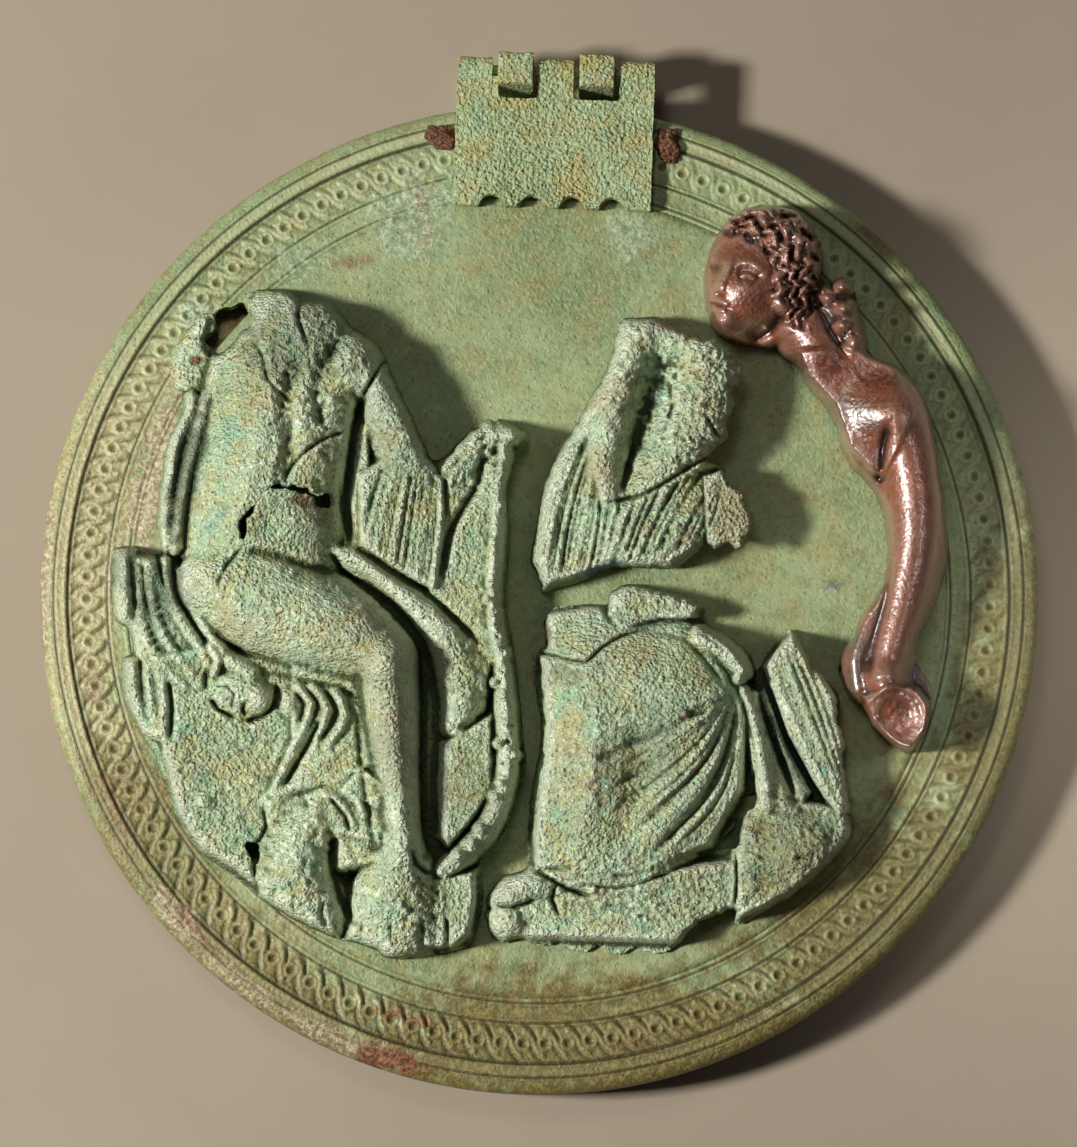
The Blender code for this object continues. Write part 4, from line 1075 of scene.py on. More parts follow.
def drapery_fragment() -> Relief:
    """The lower fragment of the second figure: the draped legs, a flying end of cloth and the rock."""
    outline = [
        (533, 654), (545, 650, 0.3), (544, 624, 0.3), (552, 610, 0.3), (580, 605, 0.3), (607, 606, 0.4),
        (610, 592, 0.4), (632, 583, 0.4), (658, 590, 0.4), (678, 594, 0.4), (692, 599, 0.5),
        (704, 610, 0.5), (699, 618, 0.3), (712, 628), (724, 633), (737, 645), (750, 656), (757, 674, 0.3),
        (766, 654, 0.6), (778, 644, 0.7), (790, 632, 0.8), (800, 638, 0.8), (804, 652, 0.8),
        (814, 672, 0.8), (826, 682, 0.8), (838, 700, 0.8), (836, 722, 0.8), (845, 744, 0.8),
        (843, 766, 0.7), (847, 790, 0.6), (850, 815, 0.4), (852, 843, 0.2), (832, 874), (798, 904),
        (765, 924), (737, 938, 0.3), (734, 922, 0.6), (716, 928, 0.7), (700, 936, 0.7), (688, 946, 0.7),
        (676, 961, 0.6), (654, 968, 0.6), (638, 961, 0.6), (618, 969, 0.6), (600, 961, 0.6),
        (580, 966, 0.6), (558, 957, 0.5), (540, 961, 0.5), (522, 953, 0.5), (502, 957, 0.4),
        (490, 944, 0.4), (485, 927), (488, 906), (503, 888), (526, 878), (527, 842), (532, 797), (540, 751),
        (540, 720), (536, 700),
    ]
    holes = [
        [(752, 799), (755, 811), (745, 826), (740, 840), (736, 858), (717, 859), (722, 848), (733, 838),
            (737, 816)],
    ]
    forms = [
        Limb((610, 676, 74, 12.6), (606, 730, 70, 13.4), (598, 800, 68, 12.6), (588, 866, 58, 10.8)),
        Slab(9.0, 12.0, (534, 654), (600, 640), (610, 880), (528, 890), (527, 842), (540, 751)),
        Mass(664, 706, 84, 92, 12, 14.4),
        Limb((706, 710, 46, 13), (676, 780, 64, 12.8), (634, 850, 64, 11)),
        Slab(8.2, 14.0, (560, 640), (740, 650), (760, 700), (750, 800), (716, 862), (640, 896), (560, 890)),
        Limb((700, 640, 16, 12.4), (726, 654, 16, 12.8), (742, 674, 13, 12.8)),
        Mass(739, 682, 9, 9, 0, 13.8),
        Limb((744, 694, 7, 11), (755, 730, 12, 10.2), (764, 780, 13, 9.4), (768, 816, 11, 8.4)),
        Slab(9.4, 8.0, (758, 668), (778, 644), (792, 630), (806, 644), (828, 680), (842, 704), (848, 750),
            (850, 790), (856, 824), (836, 832), (810, 792), (784, 742)),
        Slab(7.8, 8.0, (742, 690), (768, 690), (790, 750), (816, 800), (800, 830), (756, 822), (748, 760)),
        Slab(7.8, 10.0, (742, 808), (770, 798), (852, 812), (858, 846), (836, 878), (800, 908), (765, 928),
            (728, 942), (726, 870)),
        Mass(794, 862, 56, 54, -24, 10.6),
        Limb((752, 850, 16, 8.6), (750, 900, 18, 8)),
        Slab(7.2, 12.0, (484, 910), (524, 876), (600, 880), (754, 862), (754, 930), (680, 964), (560, 960),
            (500, 960)),
        Limb((556, 894, 20, 9.2), (526, 898, 24, 9.6), (506, 912, 20, 9)),
        Mass(508, 934, 24, 22, 0, 8.8),
        Slab(7.6, 6.0, (545, 655), (543, 612), (600, 602), (622, 632), (586, 664)),
        Slab(8.6, 6.0, (606, 592), (632, 580), (706, 598), (704, 622), (660, 624), (620, 636), (604, 616)),
        Mass(685, 719, 6, 6, 0, 15.8),
    ]
    creases = [
        *pleats(5, 4.2, 1.0, [(722, 702), (690, 722), (648, 744), (596, 768)], [(735, 704), (726, 758),
            (702, 810), (652, 866)]),
        *pleats(10, 1.7, 0.5, [(726, 700), (696, 724), (660, 748), (620, 776)], [(738, 704), (732, 770),
            (714, 816), (676, 858)]),
        Crease(2.0, 1.4, (742, 700), (753, 748), (756, 776), (750, 800)),
        *pleats(4, 1.9, 0.7, [(648, 634), (682, 640), (706, 664), (724, 690)], [(690, 624), (716, 636),
            (734, 652), (748, 672)]),
        *pleats(6, 2.3, 0.6, [(768, 668), (784, 716), (810, 772), (836, 820)], [(800, 646), (822, 700),
            (838, 752), (848, 798)]),
        Crease(3.4, 4.0, (757, 684), (768, 728), (782, 768), (794, 800)),
        Crease(6, 1.6, (776, 760), (790, 796), (800, 820)),
        Crease(1.6, 2.6, (735, 860), (737, 890), (735, 920)),
        Crease(2.0, 1.2, (584, 896), (620, 900), (660, 888), (700, 870), (722, 862)),
        Crease(3.0, 2.4, (536, 882), (566, 900), (590, 908)),
        Crease(1.8, 1.5, (534, 654), (560, 660), (586, 665), (600, 652), (622, 638), (650, 630)),
        Crease(2.4, 2.0, (494, 918), (514, 920), (536, 912)),
        Crease(2.0, 1.4, (556, 896), (552, 914), (560, 930)),
        Crease(16, 1.2, (640, 730), (636, 790), (620, 850)),
        Crease(9, -0.8, (594, 676), (596, 730), (588, 800), (580, 860)),
    ]
    crusts = [
        (600, 780, 60, 110, 0, 0.26), (660, 720, 60, 50, 0, 0.30), (640, 900, 130, 44, 0, 0.42),
        (792, 864, 56, 50, 0, 0.42), (512, 916, 34, 36, 0, 0.34), (640, 606, 70, 22, 0, 0.34),
    ]
    stains = {
        Tint.RUST: [
            (560, 676, 20, 12, 0, 0.4), (545, 636, 6, 16, 0, 0.6), (685, 719, 8, 7, 0, 0.6),
            (700, 612, 10, 6, 0, 0.5),
        ],
        Tint.MINT: [
            (650, 624, 24, 7, -8, 0.9), (668, 600, 22, 8, 10, 0.4), (616, 920, 9, 5, 0, 0.8),
            (692, 848, 10, 7, 0, 0.5),
        ],
        Tint.TAN: [
            (580, 800, 26, 60, 0, 0.45), (620, 664, 40, 24, 0, 0.5), (806, 700, 20, 50, -20, 0.35),
            (700, 900, 40, 40, 0, 0.4),
        ],
        # Painted shade in the valley beside the central fold and over the middle of the drapery.
        Tint.DARK: [(784, 756, 12, 50, -26, 0.9), (640, 760, 30, 60, 30, 0.3)],
        Tint.OLIVE: [(792, 862, 60, 54, 0, 0.55), (640, 770, 50, 60, 30, 0.25)],
    }
    return Relief("beaten_drapery_fragment", "relief_drapery_fragment", "relief_patina", 1.72, outline,
        forms, creases, holes, stains, crusts)


# The head on the cleaned fragment: its middle, half sizes and tilt on the drawing
HEAD_CENTRE = (762.0, 262.0)
HEAD_HALF_WIDTH = 57.0
HEAD_HALF_HEIGHT = 73.0
HEAD_TILT = math.radians(14.0)


def on_head(across: float, down: float) -> tuple[float, float]:
    """A point on the head, by shares of its half width to the right and of its half height down."""
    right, below = across * HEAD_HALF_WIDTH, down * HEAD_HALF_HEIGHT
    cos, sin = math.cos(HEAD_TILT), math.sin(HEAD_TILT)
    return HEAD_CENTRE[0] + right * cos - below * sin, HEAD_CENTRE[1] + right * sin + below * cos


def on_head_path(*shares: tuple[float, float]) -> Rows:
    """The points on the head for a path of shares."""
    return [on_head(*share) for share in shares]


def head_and_arm() -> Relief:
    """The cleaned fragment: a head bent to the left, the neck and shoulder and the hanging arm."""
    outline = [
        *on_head_path((-0.98, -0.20), (-0.86, -0.58), (-0.56, -0.87), (-0.12, -1.0), (0.36, -0.96),
            (0.76, -0.70), (0.97, -0.30), (1.0, 0.0)),
        (842, 264), (853, 275), (857, 290), (860, 304), (867, 328), (868, 344), (880, 350), (893, 355),
        (908, 367), (920, 382), (930, 409), (936, 443), (942, 481), (947, 529), (948, 551), (943, 582),
        (931, 613), (918, 643), (917, 664), (928, 684), (931, 704), (929, 728), (920, 748), (908, 760),
        (896, 752), (879, 736), (866, 718), (856, 704), (845, 692), (838, 670), (844, 652), (854, 638),
        (862, 616), (872, 602), (884, 582), (888, 560), (889, 530), (884, 506), (876, 484), (864, 468),
        (852, 459), (842, 436), (838, 418), (828, 396), (814, 384), (806, 370), (798, 352),
        *on_head_path((0.25, 0.99), (-0.05, 1.0), (-0.38, 0.92), (-0.68, 0.72), (-0.90, 0.40),
            (-0.99, 0.08)),
    ]
    outline = [(*point, 0.7) for point in outline]
    forms = [
        Mass(*on_head(0.0, -0.04), 70, 82, 14, 14.2), Mass(*on_head(-0.30, 0.30), 44, 56, 14, 14.2),
        Limb((*on_head(-0.66, -0.66), 20, 12.4), (*on_head(-0.16, -0.72), 28, 14.8),
            (*on_head(0.40, -0.46), 34, 15.6), (*on_head(0.64, -0.02), 32, 14.8),
            (*on_head(0.56, 0.34), 22, 13.2)),
        Limb((792, 296, 36, 11.4), (822, 340, 38, 11.6)),
        Slab(11.6, 16.0, (780, 330), (850, 322), (904, 348), (930, 400), (910, 450), (886, 490), (862, 474),
            (838, 446), (824, 404), (796, 372)),
        Mass(842, 275, 13, 12, 0, 12.4), Mass(828, 286, 14, 12, 30, 12.2), Mass(844, 297, 14, 13, 0, 12.8),
        Mass(842, 315, 14, 13, 20, 12.4), Mass(854, 332, 13, 14, 0, 11.6),
        Limb((822, 280, 12, 9.6), (842, 300, 16, 10.4), (856, 338, 12, 10)),
        Mass(886, 402, 52, 50, 30, 14.2),
        Slab(8.0, 12.0, (800, 350), (860, 350), (900, 420), (896, 520), (872, 500), (846, 464), (816, 400)),
        Limb((900, 410, 40, 14), (912, 470, 38, 13.4), (916, 530, 36, 13), (906, 590, 34, 12),
            (892, 644, 29, 11.4), (884, 680, 28, 11)),
        Limb((884, 590, 12, 8.6), (866, 628, 14, 8.8), (856, 664, 16, 8.8), (860, 694, 16, 8.6)),
        Limb((884, 680, 26, 11.2), (888, 700, 30, 11)),
        Slab(10.4, 7.0, (858, 700), (886, 684), (920, 688), (934, 708), (930, 736), (912, 762), (892, 754),
            (870, 732)),
        Mass(*on_head(-0.46, 0.74), 22, 16, 14, 13.4),
    ]
    creases = [
        Crease(5, 2.0, (888, 418), (882, 446), (880, 480)),
        Crease(3.4, 1.1, (892, 560), (884, 604), (874, 644), (870, 680)),
        Crease(2.6, 0.9, *on_head_path((-1.1, -0.42), (-0.62, -0.50), (-0.16, -0.40), (0.14, -0.14),
            (0.20, 0.08))),
        Crease(7, 1.1, *on_head_path((-0.44, 0.06), (-0.22, 0.03), (0.0, 0.08))),
        Crease(5, 0.8, *on_head_path((-0.92, 0.07), (-0.82, 0.04), (-0.74, 0.07))),
        Crease(5, -0.5, *on_head_path((-0.52, -0.08), (-0.26, -0.13), (0.02, -0.04))),
        Crease(3.2, -0.75, *on_head_path((-0.38, 0.08), (-0.22, 0.05), (-0.06, 0.10))),
        Crease(1.3, 0.4, *on_head_path((-0.38, 0.12), (-0.22, 0.10), (-0.07, 0.12))),
        Crease(5.5, -1.2, *on_head_path((-0.60, -0.10), (-0.64, 0.12), (-0.68, 0.30))),
        Crease(5.5, -0.9, *on_head_path((-0.70, 0.24), (-0.66, 0.34), (-0.56, 0.34))),
        Crease(2.0, 0.7, *on_head_path((-0.70, 0.41), (-0.62, 0.42), (-0.54, 0.39))),
        Crease(3.4, -0.8, *on_head_path((-0.74, 0.53), (-0.60, 0.51), (-0.42, 0.55))),
        Crease(3.4, -0.7, *on_head_path((-0.70, 0.62), (-0.58, 0.63), (-0.44, 0.61))),
        Crease(1.5, 0.8, *on_head_path((-0.76, 0.57), (-0.60, 0.57), (-0.38, 0.58))),
        Crease(4.0, 0.5, *on_head_path((-0.64, 0.71), (-0.54, 0.72), (-0.44, 0.71))),
        Crease(4.0, -0.9, *on_head_path((0.22, 0.0), (0.36, 0.04), (0.38, 0.18), (0.28, 0.28))),
        Crease(2.4, 1.0, *on_head_path((0.28, 0.06), (0.30, 0.14), (0.26, 0.22))),
        Crease(7, 3.0, *on_head_path((0.06, 0.98), (0.36, 0.76), (0.50, 0.46))),
        *pleats(12, 2.1, 1.7, on_head_path((-1.3, -0.36), (-0.60, -0.50), (-0.06, -0.42), (0.34, -0.12),
            (0.50, 0.18), (0.60, 0.60)), on_head_path((-1.2, -0.9), (-0.26, -1.04), (0.50, -0.94),
            (0.96, -0.44), (1.04, 0.02), (0.96, 0.6)), 3.4),
        Crease(1.8, 1.3, (832, 270), (842, 266), (850, 274), (845, 282), (838, 278)),
        Crease(1.8, 1.3, (816, 284), (826, 280), (836, 286), (830, 294)),
        Crease(1.8, 1.3, (834, 296), (844, 289), (855, 296), (850, 305), (842, 301)),
        Crease(1.8, 1.3, (830, 314), (840, 307), (852, 314), (846, 323), (839, 318)),
        Crease(1.8, 1.3, (844, 330), (854, 323), (862, 332), (856, 341)),
        Crease(3.0, -1.1, (868, 708), (886, 692), (908, 692), (924, 708), (926, 730), (914, 752),
            (896, 748)),
        Dent(896, 722, 17, 20, -20, 1.0),
        Crease(3.4, 1.6, (808, 268), (816, 292), (830, 322), (846, 346)),
    ]
    crusts = [
        (770, 210, 60, 30, 10, 0.12), (884, 710, 36, 36, 0, 0.13), (826, 420, 20, 60, -30, 0.2),
    ]
    stains = {
        Tint.CRUST: [(830, 416, 6, 50, -34, 0.6), (806, 362, 6, 20, -30, 0.5)],
        Tint.RUST: [
            (822, 352, 30, 18, 40, 0.9), (868, 366, 34, 12, 12, 0.8), (800, 316, 18, 12, 0, 0.7),
            (876, 392, 14, 12, 0, 0.5), (922, 560, 10, 90, 0, 0.4), (916, 640, 8, 30, 0, 0.5),
        ],
        # Painted shade beside the shoulder and along the grooves between the arm and the cloth.
        Tint.DARK: [(860, 410, 20, 30, -30, 0.6), (858, 670, 12, 40, 0, 0.7), (880, 590, 6, 50, 10, 0.5)],
    }
    return Relief("beaten_head_and_arm", "relief_head_and_arm", "cleaned_bronze", 1.42, outline, forms,
        creases, [], stains, crusts, 0.03, 4.5, 0.5, True)


# The tear through the cover's sheet beside the seated figure's shoulder, on the drawing
COVER_TEAR = [
    (215, 303), (224, 296), (231, 296), (243, 291), (249, 309), (240, 322), (232, 331), (220, 341),
    (209, 337), (205, 328), (216, 318),
]

# Ovals of each local colour on the cover, and of painted shade, on the drawing
COVER_STAINS = {
    Tint.CRUST: [
        (158, 470, 20, 92, 16, 0.85), (120, 560, 16, 40, 6, 0.5), (44, 570, 8, 150, 2, 0.75),
        (176, 914, 14, 40, -38, 0.8), (240, 985, 14, 60, -52, 0.7), (330, 1040, 14, 60, -66, 0.6),
        (424, 214, 8, 36, -8, 0.5),
    ],
    Tint.RUST: [
        (196, 351, 7, 5), (390, 1060, 40, 12, 12, 0.9), (112, 800, 4, 40, -24, 0.4),
        (196, 930, 4, 44, -40, 0.5), (96, 690, 12, 26, -14, 0.35), (355, 262, 22, 7, -12, 0.5),
        (640, 1046, 18, 8, 0, 0.3), (876, 240, 22, 7, 40, 0.6), (410, 1020, 30, 7, 12, 0.45),
    ],
    Tint.MINT: [
        (410, 215, 40, 50, 20, 0.6), (300, 262, 40, 20, -20, 0.35), (628, 232, 26, 32, 0, 0.5),
        (200, 322, 18, 22, 0, 0.7), (188, 350, 18, 22, 20, 0.6),
    ],
    Tint.TAN: [
        (84, 560, 50, 190, 4, 0.9), (108, 760, 40, 110, -22, 0.75), (130, 420, 34, 100, 24, 0.6),
        (250, 940, 90, 60, 40, 0.35), (1018, 560, 20, 160, -4, 0.4),
    ],
    # Painted shade on the right of the rim, and a painted shadow on the ground seen through the drapery's
    # hole.
    Tint.DARK: [(1000, 500, 30, 160, -8, 0.25), (737, 832, 14, 28, -20)],
    Tint.BLUE: [(833, 585, 9, 6, 0, 0.6)],
    Tint.OLIVE: [
        (150, 840, 60, 120, -34, 0.7), (600, 470, 90, 50, 0, 0.18), (740, 660, 60, 70, 0, 0.2),
        (600, 1052, 330, 84, 0, 0.95), (880, 930, 170, 130, -40, 0.85), (820, 1060, 200, 60, -26),
        (1010, 700, 60, 240, 10, 0.75), (260, 990, 160, 60, 38, 0.75), (96, 300, 30, 120, 40, 0.7),
    ],
}


def cover_stains(x: Points, y: Points) -> dict[Tint, Points]:
    """The strength of each local colour and of the painted shade on the cover at ground points in metres.
    """
    return stain_masks(COVER_STAINS, *from_ground(x, y))


class RimSurface:
    """The heights and the masks of the cover's upper face, by radius and angle."""

    @staticmethod
    def wear(angle: Points) -> Points:
        """How crisp the ornament is round the rim, from 0 to 1, strongest at the lower left."""
        best = math.radians(228.0)
        return 0.36 + 0.64 * np.clip(0.5 + 0.5 * np.cos(angle - best), 0.0, 1.0) ** 1.2

    @staticmethod
    def line_pair(radius: Points, middle: float, depth: float, half: float) -> Points:
        """Two fine raised lines with a groove between and beside them.

        Args:
            radius: Radii to measure at.
            middle: Radius midway between the lines.
            depth: How high they stand.
            half: How far each is from the middle.

        Returns:
            One height for each radius.
        """
        away = (radius - middle) / half
        return depth * (np.exp(-(((np.abs(away) - 0.9) / 0.55) ** 2)) - 0.9 * np.exp(-((away / 0.45) ** 2)))

    @classmethod
    def ornament(cls, radius: Points, angle: Points) -> tuple[Points, Points]:
        """The punched rings and the strands woven between them.

        Args:
            radius: Radii in metres.
            angle: Angles round the rim.

        Returns:
            The heights and a mask of the hollows.
        """
        turns = angle / math.tau * RING_COUNT
        part = turns - np.floor(turns)
        pitch = math.tau * ORNAMENT_RADIUS / RING_COUNT
        off = radius - ORNAMENT_RADIUS
        from_ring = np.hypot(np.minimum(part, 1.0 - part) * pitch, off)
        ring = np.exp(-(((from_ring - 1.0 * MM) / (0.27 * MM)) ** 2))
        pit = np.exp(-((from_ring / (0.72 * MM)) ** 2))
        swing = 2.0 * MM
        strand_middle = swing * np.cos(math.pi * part)
        steep = swing * math.pi / pitch * np.sin(math.pi * part)
        from_strand = np.abs(off + strand_middle) / np.sqrt(1.0 + steep * steep)
        fade = np.clip((from_ring - 1.25 * MM) / (0.4 * MM), 0.0, 1.0)
        strand = np.exp(-(((from_strand - 0.1 * MM) / (0.42 * MM)) ** 2)) * fade
        beside = np.exp(-(((from_strand - 0.85 * MM) / (0.25 * MM)) ** 2)) * fade
        crisp = cls.wear(angle)
        punched = 0.42 * ring * (0.7 + 0.3 * crisp) - 0.32 * pit
        height = (punched + (0.42 * strand - 0.30 * beside) * crisp) * MM
        hollow = np.clip(0.8 * pit + 0.9 * beside * crisp - 0.7 * ring, 0.0, 1.0)
        return height, hollow

    @classmethod
    def height(cls, radius: Points, angle: Points) -> Points:
        """The upper face's height above the cover's ground, inside the rim's outer edge.

        Args:
            radius: Radii in metres.
            angle: Angles round the rim.

        Returns:
            One height in metres for each point.
        """
        x, y = radius * np.cos(angle), radius * np.sin(angle)
        total = cls.ornament(radius, angle)[0] * ((radius > BAND_LINE) & (radius < DARK_LINE))
        for line, depth, half, _dark in RIM_LINES:
            total += cls.line_pair(radius, line, depth * MM, half * MM)
        fillet = np.clip(1.0 - np.abs(radius - (OUTER_LINE + DARK_LINE) / 2.0) / (1.3 * MM), 0.0, 1.0)
        total += 0.24 * MM * np.sin(fillet * math.pi / 2.0)
        total += 0.035 * MM * lattice_noise(x, y, 2.2 * MM, 21)
        total += 0.03 * MM * lattice_noise(x, y, 0.9 * MM, 22)
        colours = cover_stains(x, y)
        grown = np.maximum(colours[Tint.MINT], 0.6 * colours[Tint.CRUST])
        lumps = 0.6 + lattice_noise(x, y, 1.3 * MM, 23) + 0.6 * lattice_noise(x, y, 0.7 * MM, 24)
        total += 0.26 * MM * grown * lumps
        return np.clip(total, -0.5 * MM, FILLET_HEIGHT - 0.02 * MM)


@dataclass
class Cover:
    """The cover's sheet: its ground, its ornamented band, its rounded edge and flange, and its underside.

    Args:
        material: Its finish.
        band_rings: Circles of points across the ornamented band.
        band_steps: Points on each circle of the band.
        edge_steps: Points on each circle of the edge and the flange.
        ground_step: Distance between the ground's points.
    """

    material: bpy.types.Material
    band_rings: int = 50
    band_steps: int = RING_COUNT * 13
    edge_steps: int = 720
    ground_step: float = 0.8 * MM

    @staticmethod
    def mark(mesh: bpy.types.Mesh) -> None:
        """Stores the masks of local colour, of painted shade and of the ornament's hollows.

        Args:
            mesh: A part of the cover.
        """
        x, y, z = rows_of(mesh).T
        radius, angle = np.hypot(x, y), np.arctan2(y, x) % math.tau
        hollow = RimSurface.ornament(radius, angle)[1] * ((radius > BAND_LINE) & (radius < DARK_LINE))
        for line, _depth, _half, dark in RIM_LINES:
            hollow = np.maximum(hollow, np.exp(-(((radius - line) / (dark * MM)) ** 2)))
        raised = np.clip(RimSurface.height(radius, angle) / (0.26 * MM), 0.0, 1.0)
        raised *= z > COVER_UNDERSIDE + MM
        set_masks(mesh, cover_stains(x, y), 0.5 + 0.5 * hollow - 0.32 * raised * (1.0 - hollow))

    def polar_grid(self, name: str, rings: Rows, steps: int, lifted: bool) -> bpy.types.Mesh:
        """A ring-shaped surface through circles of (radius, height).

        Args:
            name: Name of the mesh.
            rings: Radius and height of each circle.
            steps: Points on each circle.
            lifted: Whether the upper face's ornament raises it.

        Returns:
            The mesh.
        """
        work = bmesh.new()
        bmesh.ops.create_grid(work, x_segments=steps, y_segments=len(rings) - 1, size=0.5)
        places = places_of(work)
        angle = (places[:, 0] + 0.5) * math.tau
        ring = np.rint((places[:, 1] + 0.5) * (len(rings) - 1)).astype(int)
        radius, height = np.array(rings).T[:, ring]
        if lifted:
            height = height + RimSurface.height(radius, angle % math.tau)
        move_points(work, np.stack((radius * np.cos(angle), radius * np.sin(angle), height), 1))
        bmesh.ops.remove_doubles(work, verts=[v for v in work.verts if v.is_boundary], dist=SEAM_WELD)
        self.tear_open(work)
        bmesh.ops.recalc_face_normals(work, faces=work.faces[:])
        return mesh_of(work, name)

    @staticmethod
    def tear_open(work: bmesh.types.BMesh) -> None:
        """Draws a layer's edge to the outline of the tear and leaves the tear open.

        Args:
            work: The layer.
        """
        tear = np.array(on_drawing(*smooth_path(COVER_TEAR, 5.0, closed=True).T)).T
        low, high = tear.min(axis=0) - 2.0 * MM, tear.max(axis=0) + 2.0 * MM
        near = [v for v in work.verts if low[0] < v.co.x < high[0] and low[1] < v.co.y < high[1]]
        near = [v for v in near if not v.is_boundary]
        places = np.array([v.co[:2] for v in near]).reshape(-1, 2)
        torn = inside(places[:, 0], places[:, 1], tear)
        bmesh.ops.delete(work, geom=[v for v, gone in zip(near, torn) if gone], context="VERTS")
        edge = [v for v, gone in zip(near, torn) if not gone and v.is_valid and v.is_boundary]
        bmesh.ops.delete(work, geom=[v for v in edge if not v.link_faces], context="VERTS")
        for vert in (v for v in edge if v.is_valid):
            ends = along_segments(np.array([vert.co.x]), np.array([vert.co.y]), tear, closed=True)
            start, end, share, _gap = min(ends, key=lambda found: float(found[3][0]))
            vert.co.x, vert.co.y = start + (end - start) * float(share[0])

    def make_band(self) -> None:
        """The band with the line pairs and the punched and woven ornament."""
        radii = np.linspace(BAND_INSIDE, BAND_OUTSIDE, self.band_rings)
        mesh = self.polar_grid("rim_ornament_band", [(r, COVER_TOP) for r in radii], self.band_steps, True)
        self.mark(mesh)
        self.face_up(mesh)
        self.fill(mesh)

    @staticmethod
    def edge_section() -> Rows:
        """Radius and height round the rounded edge, the flange and the underside."""
        start = COVER_TOP + float(RimSurface.height(np.array([BAND_OUTSIDE]), np.array([0.5]))[0])
        low = COVER_LOW.z
        bore = COVER_RADIUS - FLANGE_WIDTH
        rounding = COVER_RADIUS - BAND_OUTSIDE
        rings = [(BAND_OUTSIDE, start)]
        for turn in np.radians(np.arange(12, 91, 13)):
            drop = 1.9 * MM * (1.0 - math.cos(turn))
            rings.append((BAND_OUTSIDE + rounding * math.sin(turn), start - drop))
        rings += [(COVER_RADIUS - 0.05 * MM, low + 1.4 * MM), (COVER_RADIUS - 0.1 * MM, low + 0.35 * MM)]
        rings += [(COVER_RADIUS - 0.4 * MM, low + 0.02 * MM), (bore + 0.3 * MM, low + 0.02 * MM)]
        rings += [(bore, low + 0.3 * MM), (bore, COVER_UNDERSIDE - 0.4 * MM)]
        return rings + [(r, COVER_UNDERSIDE) for r in np.linspace(bore - 0.4 * MM, BAND_INSIDE, 22)]

    def make_edge(self) -> None:
        """The rounded and crusted edge, the flange and the underside."""
        mesh = self.polar_grid("cover_edge_and_flange", self.edge_section(), self.edge_steps, False)
        places = rows_of(mesh)
        x, y, z = places.T
        radius, angle = np.hypot(x, y), np.arctan2(y, x)
        crust = cover_stains(x, y)[Tint.CRUST]
        outside = np.clip((radius - BAND_OUTSIDE) / (1.0 * MM), 0.0, 1.0) * (z > COVER_LOW.z + 1.0 * MM)
        around = angle * COVER_RADIUS
        bumps = lattice_noise(around, z, 1.1 * MM, 31) + 0.7 * lattice_noise(around, z, 2.6 * MM, 32)
        pull = outside * (0.12 + 0.5 * crust) * MM * (0.9 - 0.5 * bumps)
        places[:, 0] -= np.cos(angle) * pull
        places[:, 1] -= np.sin(angle) * pull
        mesh.vertices.foreach_set("co", places.ravel())
        self.mark(mesh)
        self.fill(mesh)

    def make_ground(self) -> None:
        """The flat ground behind the relief, torn through beside the shoulder."""
        half = BAND_INSIDE + self.ground_step
        count = round(2.0 * half / self.ground_step)
        work = bmesh.new()
        bmesh.ops.create_grid(work, x_segments=count, y_segments=count, size=half)
        keep_points(work, np.hypot(*places_of(work)[:, :2].T) < BAND_INSIDE)
        for vert in work.verts:
            reach = math.hypot(vert.co.x, vert.co.y)
            if vert.is_boundary:
                vert.co.x, vert.co.y = vert.co.x / reach * BAND_INSIDE, vert.co.y / reach * BAND_INSIDE
        self.tear_open(work)
        x, y, _z = places_of(work).T
        for vert, rise in zip(work.verts, RimSurface.height(np.hypot(x, y), np.arctan2(y, x) % math.tau)):
            vert.co.z = COVER_TOP + rise
        bmesh.ops.recalc_face_normals(work, faces=work.faces[:])
        mesh = mesh_of(work, "cover_ground")
        self.face_up(mesh)
        self.mark(mesh)
        thicken(self.fill(mesh), COVER_THICKNESS)

    @staticmethod
    def face_up(mesh: bpy.types.Mesh) -> None:
        """Turns a mesh's faces so that they look up."""
        if sum(p.normal.z for p in mesh.polygons) < 0.0:
            mesh.flip_normals()

    def fill(self, mesh: bpy.types.Mesh) -> bpy.types.Object:
        """Makes a part of the cover from its mesh."""
        return Place(COVER_BODY, "cover_patina", "cover_disc").fill(mesh, self.material)

    def make(self) -> None:
        """Builds the whole cover."""
        self.make_band()
        self.make_edge()
        self.make_ground()


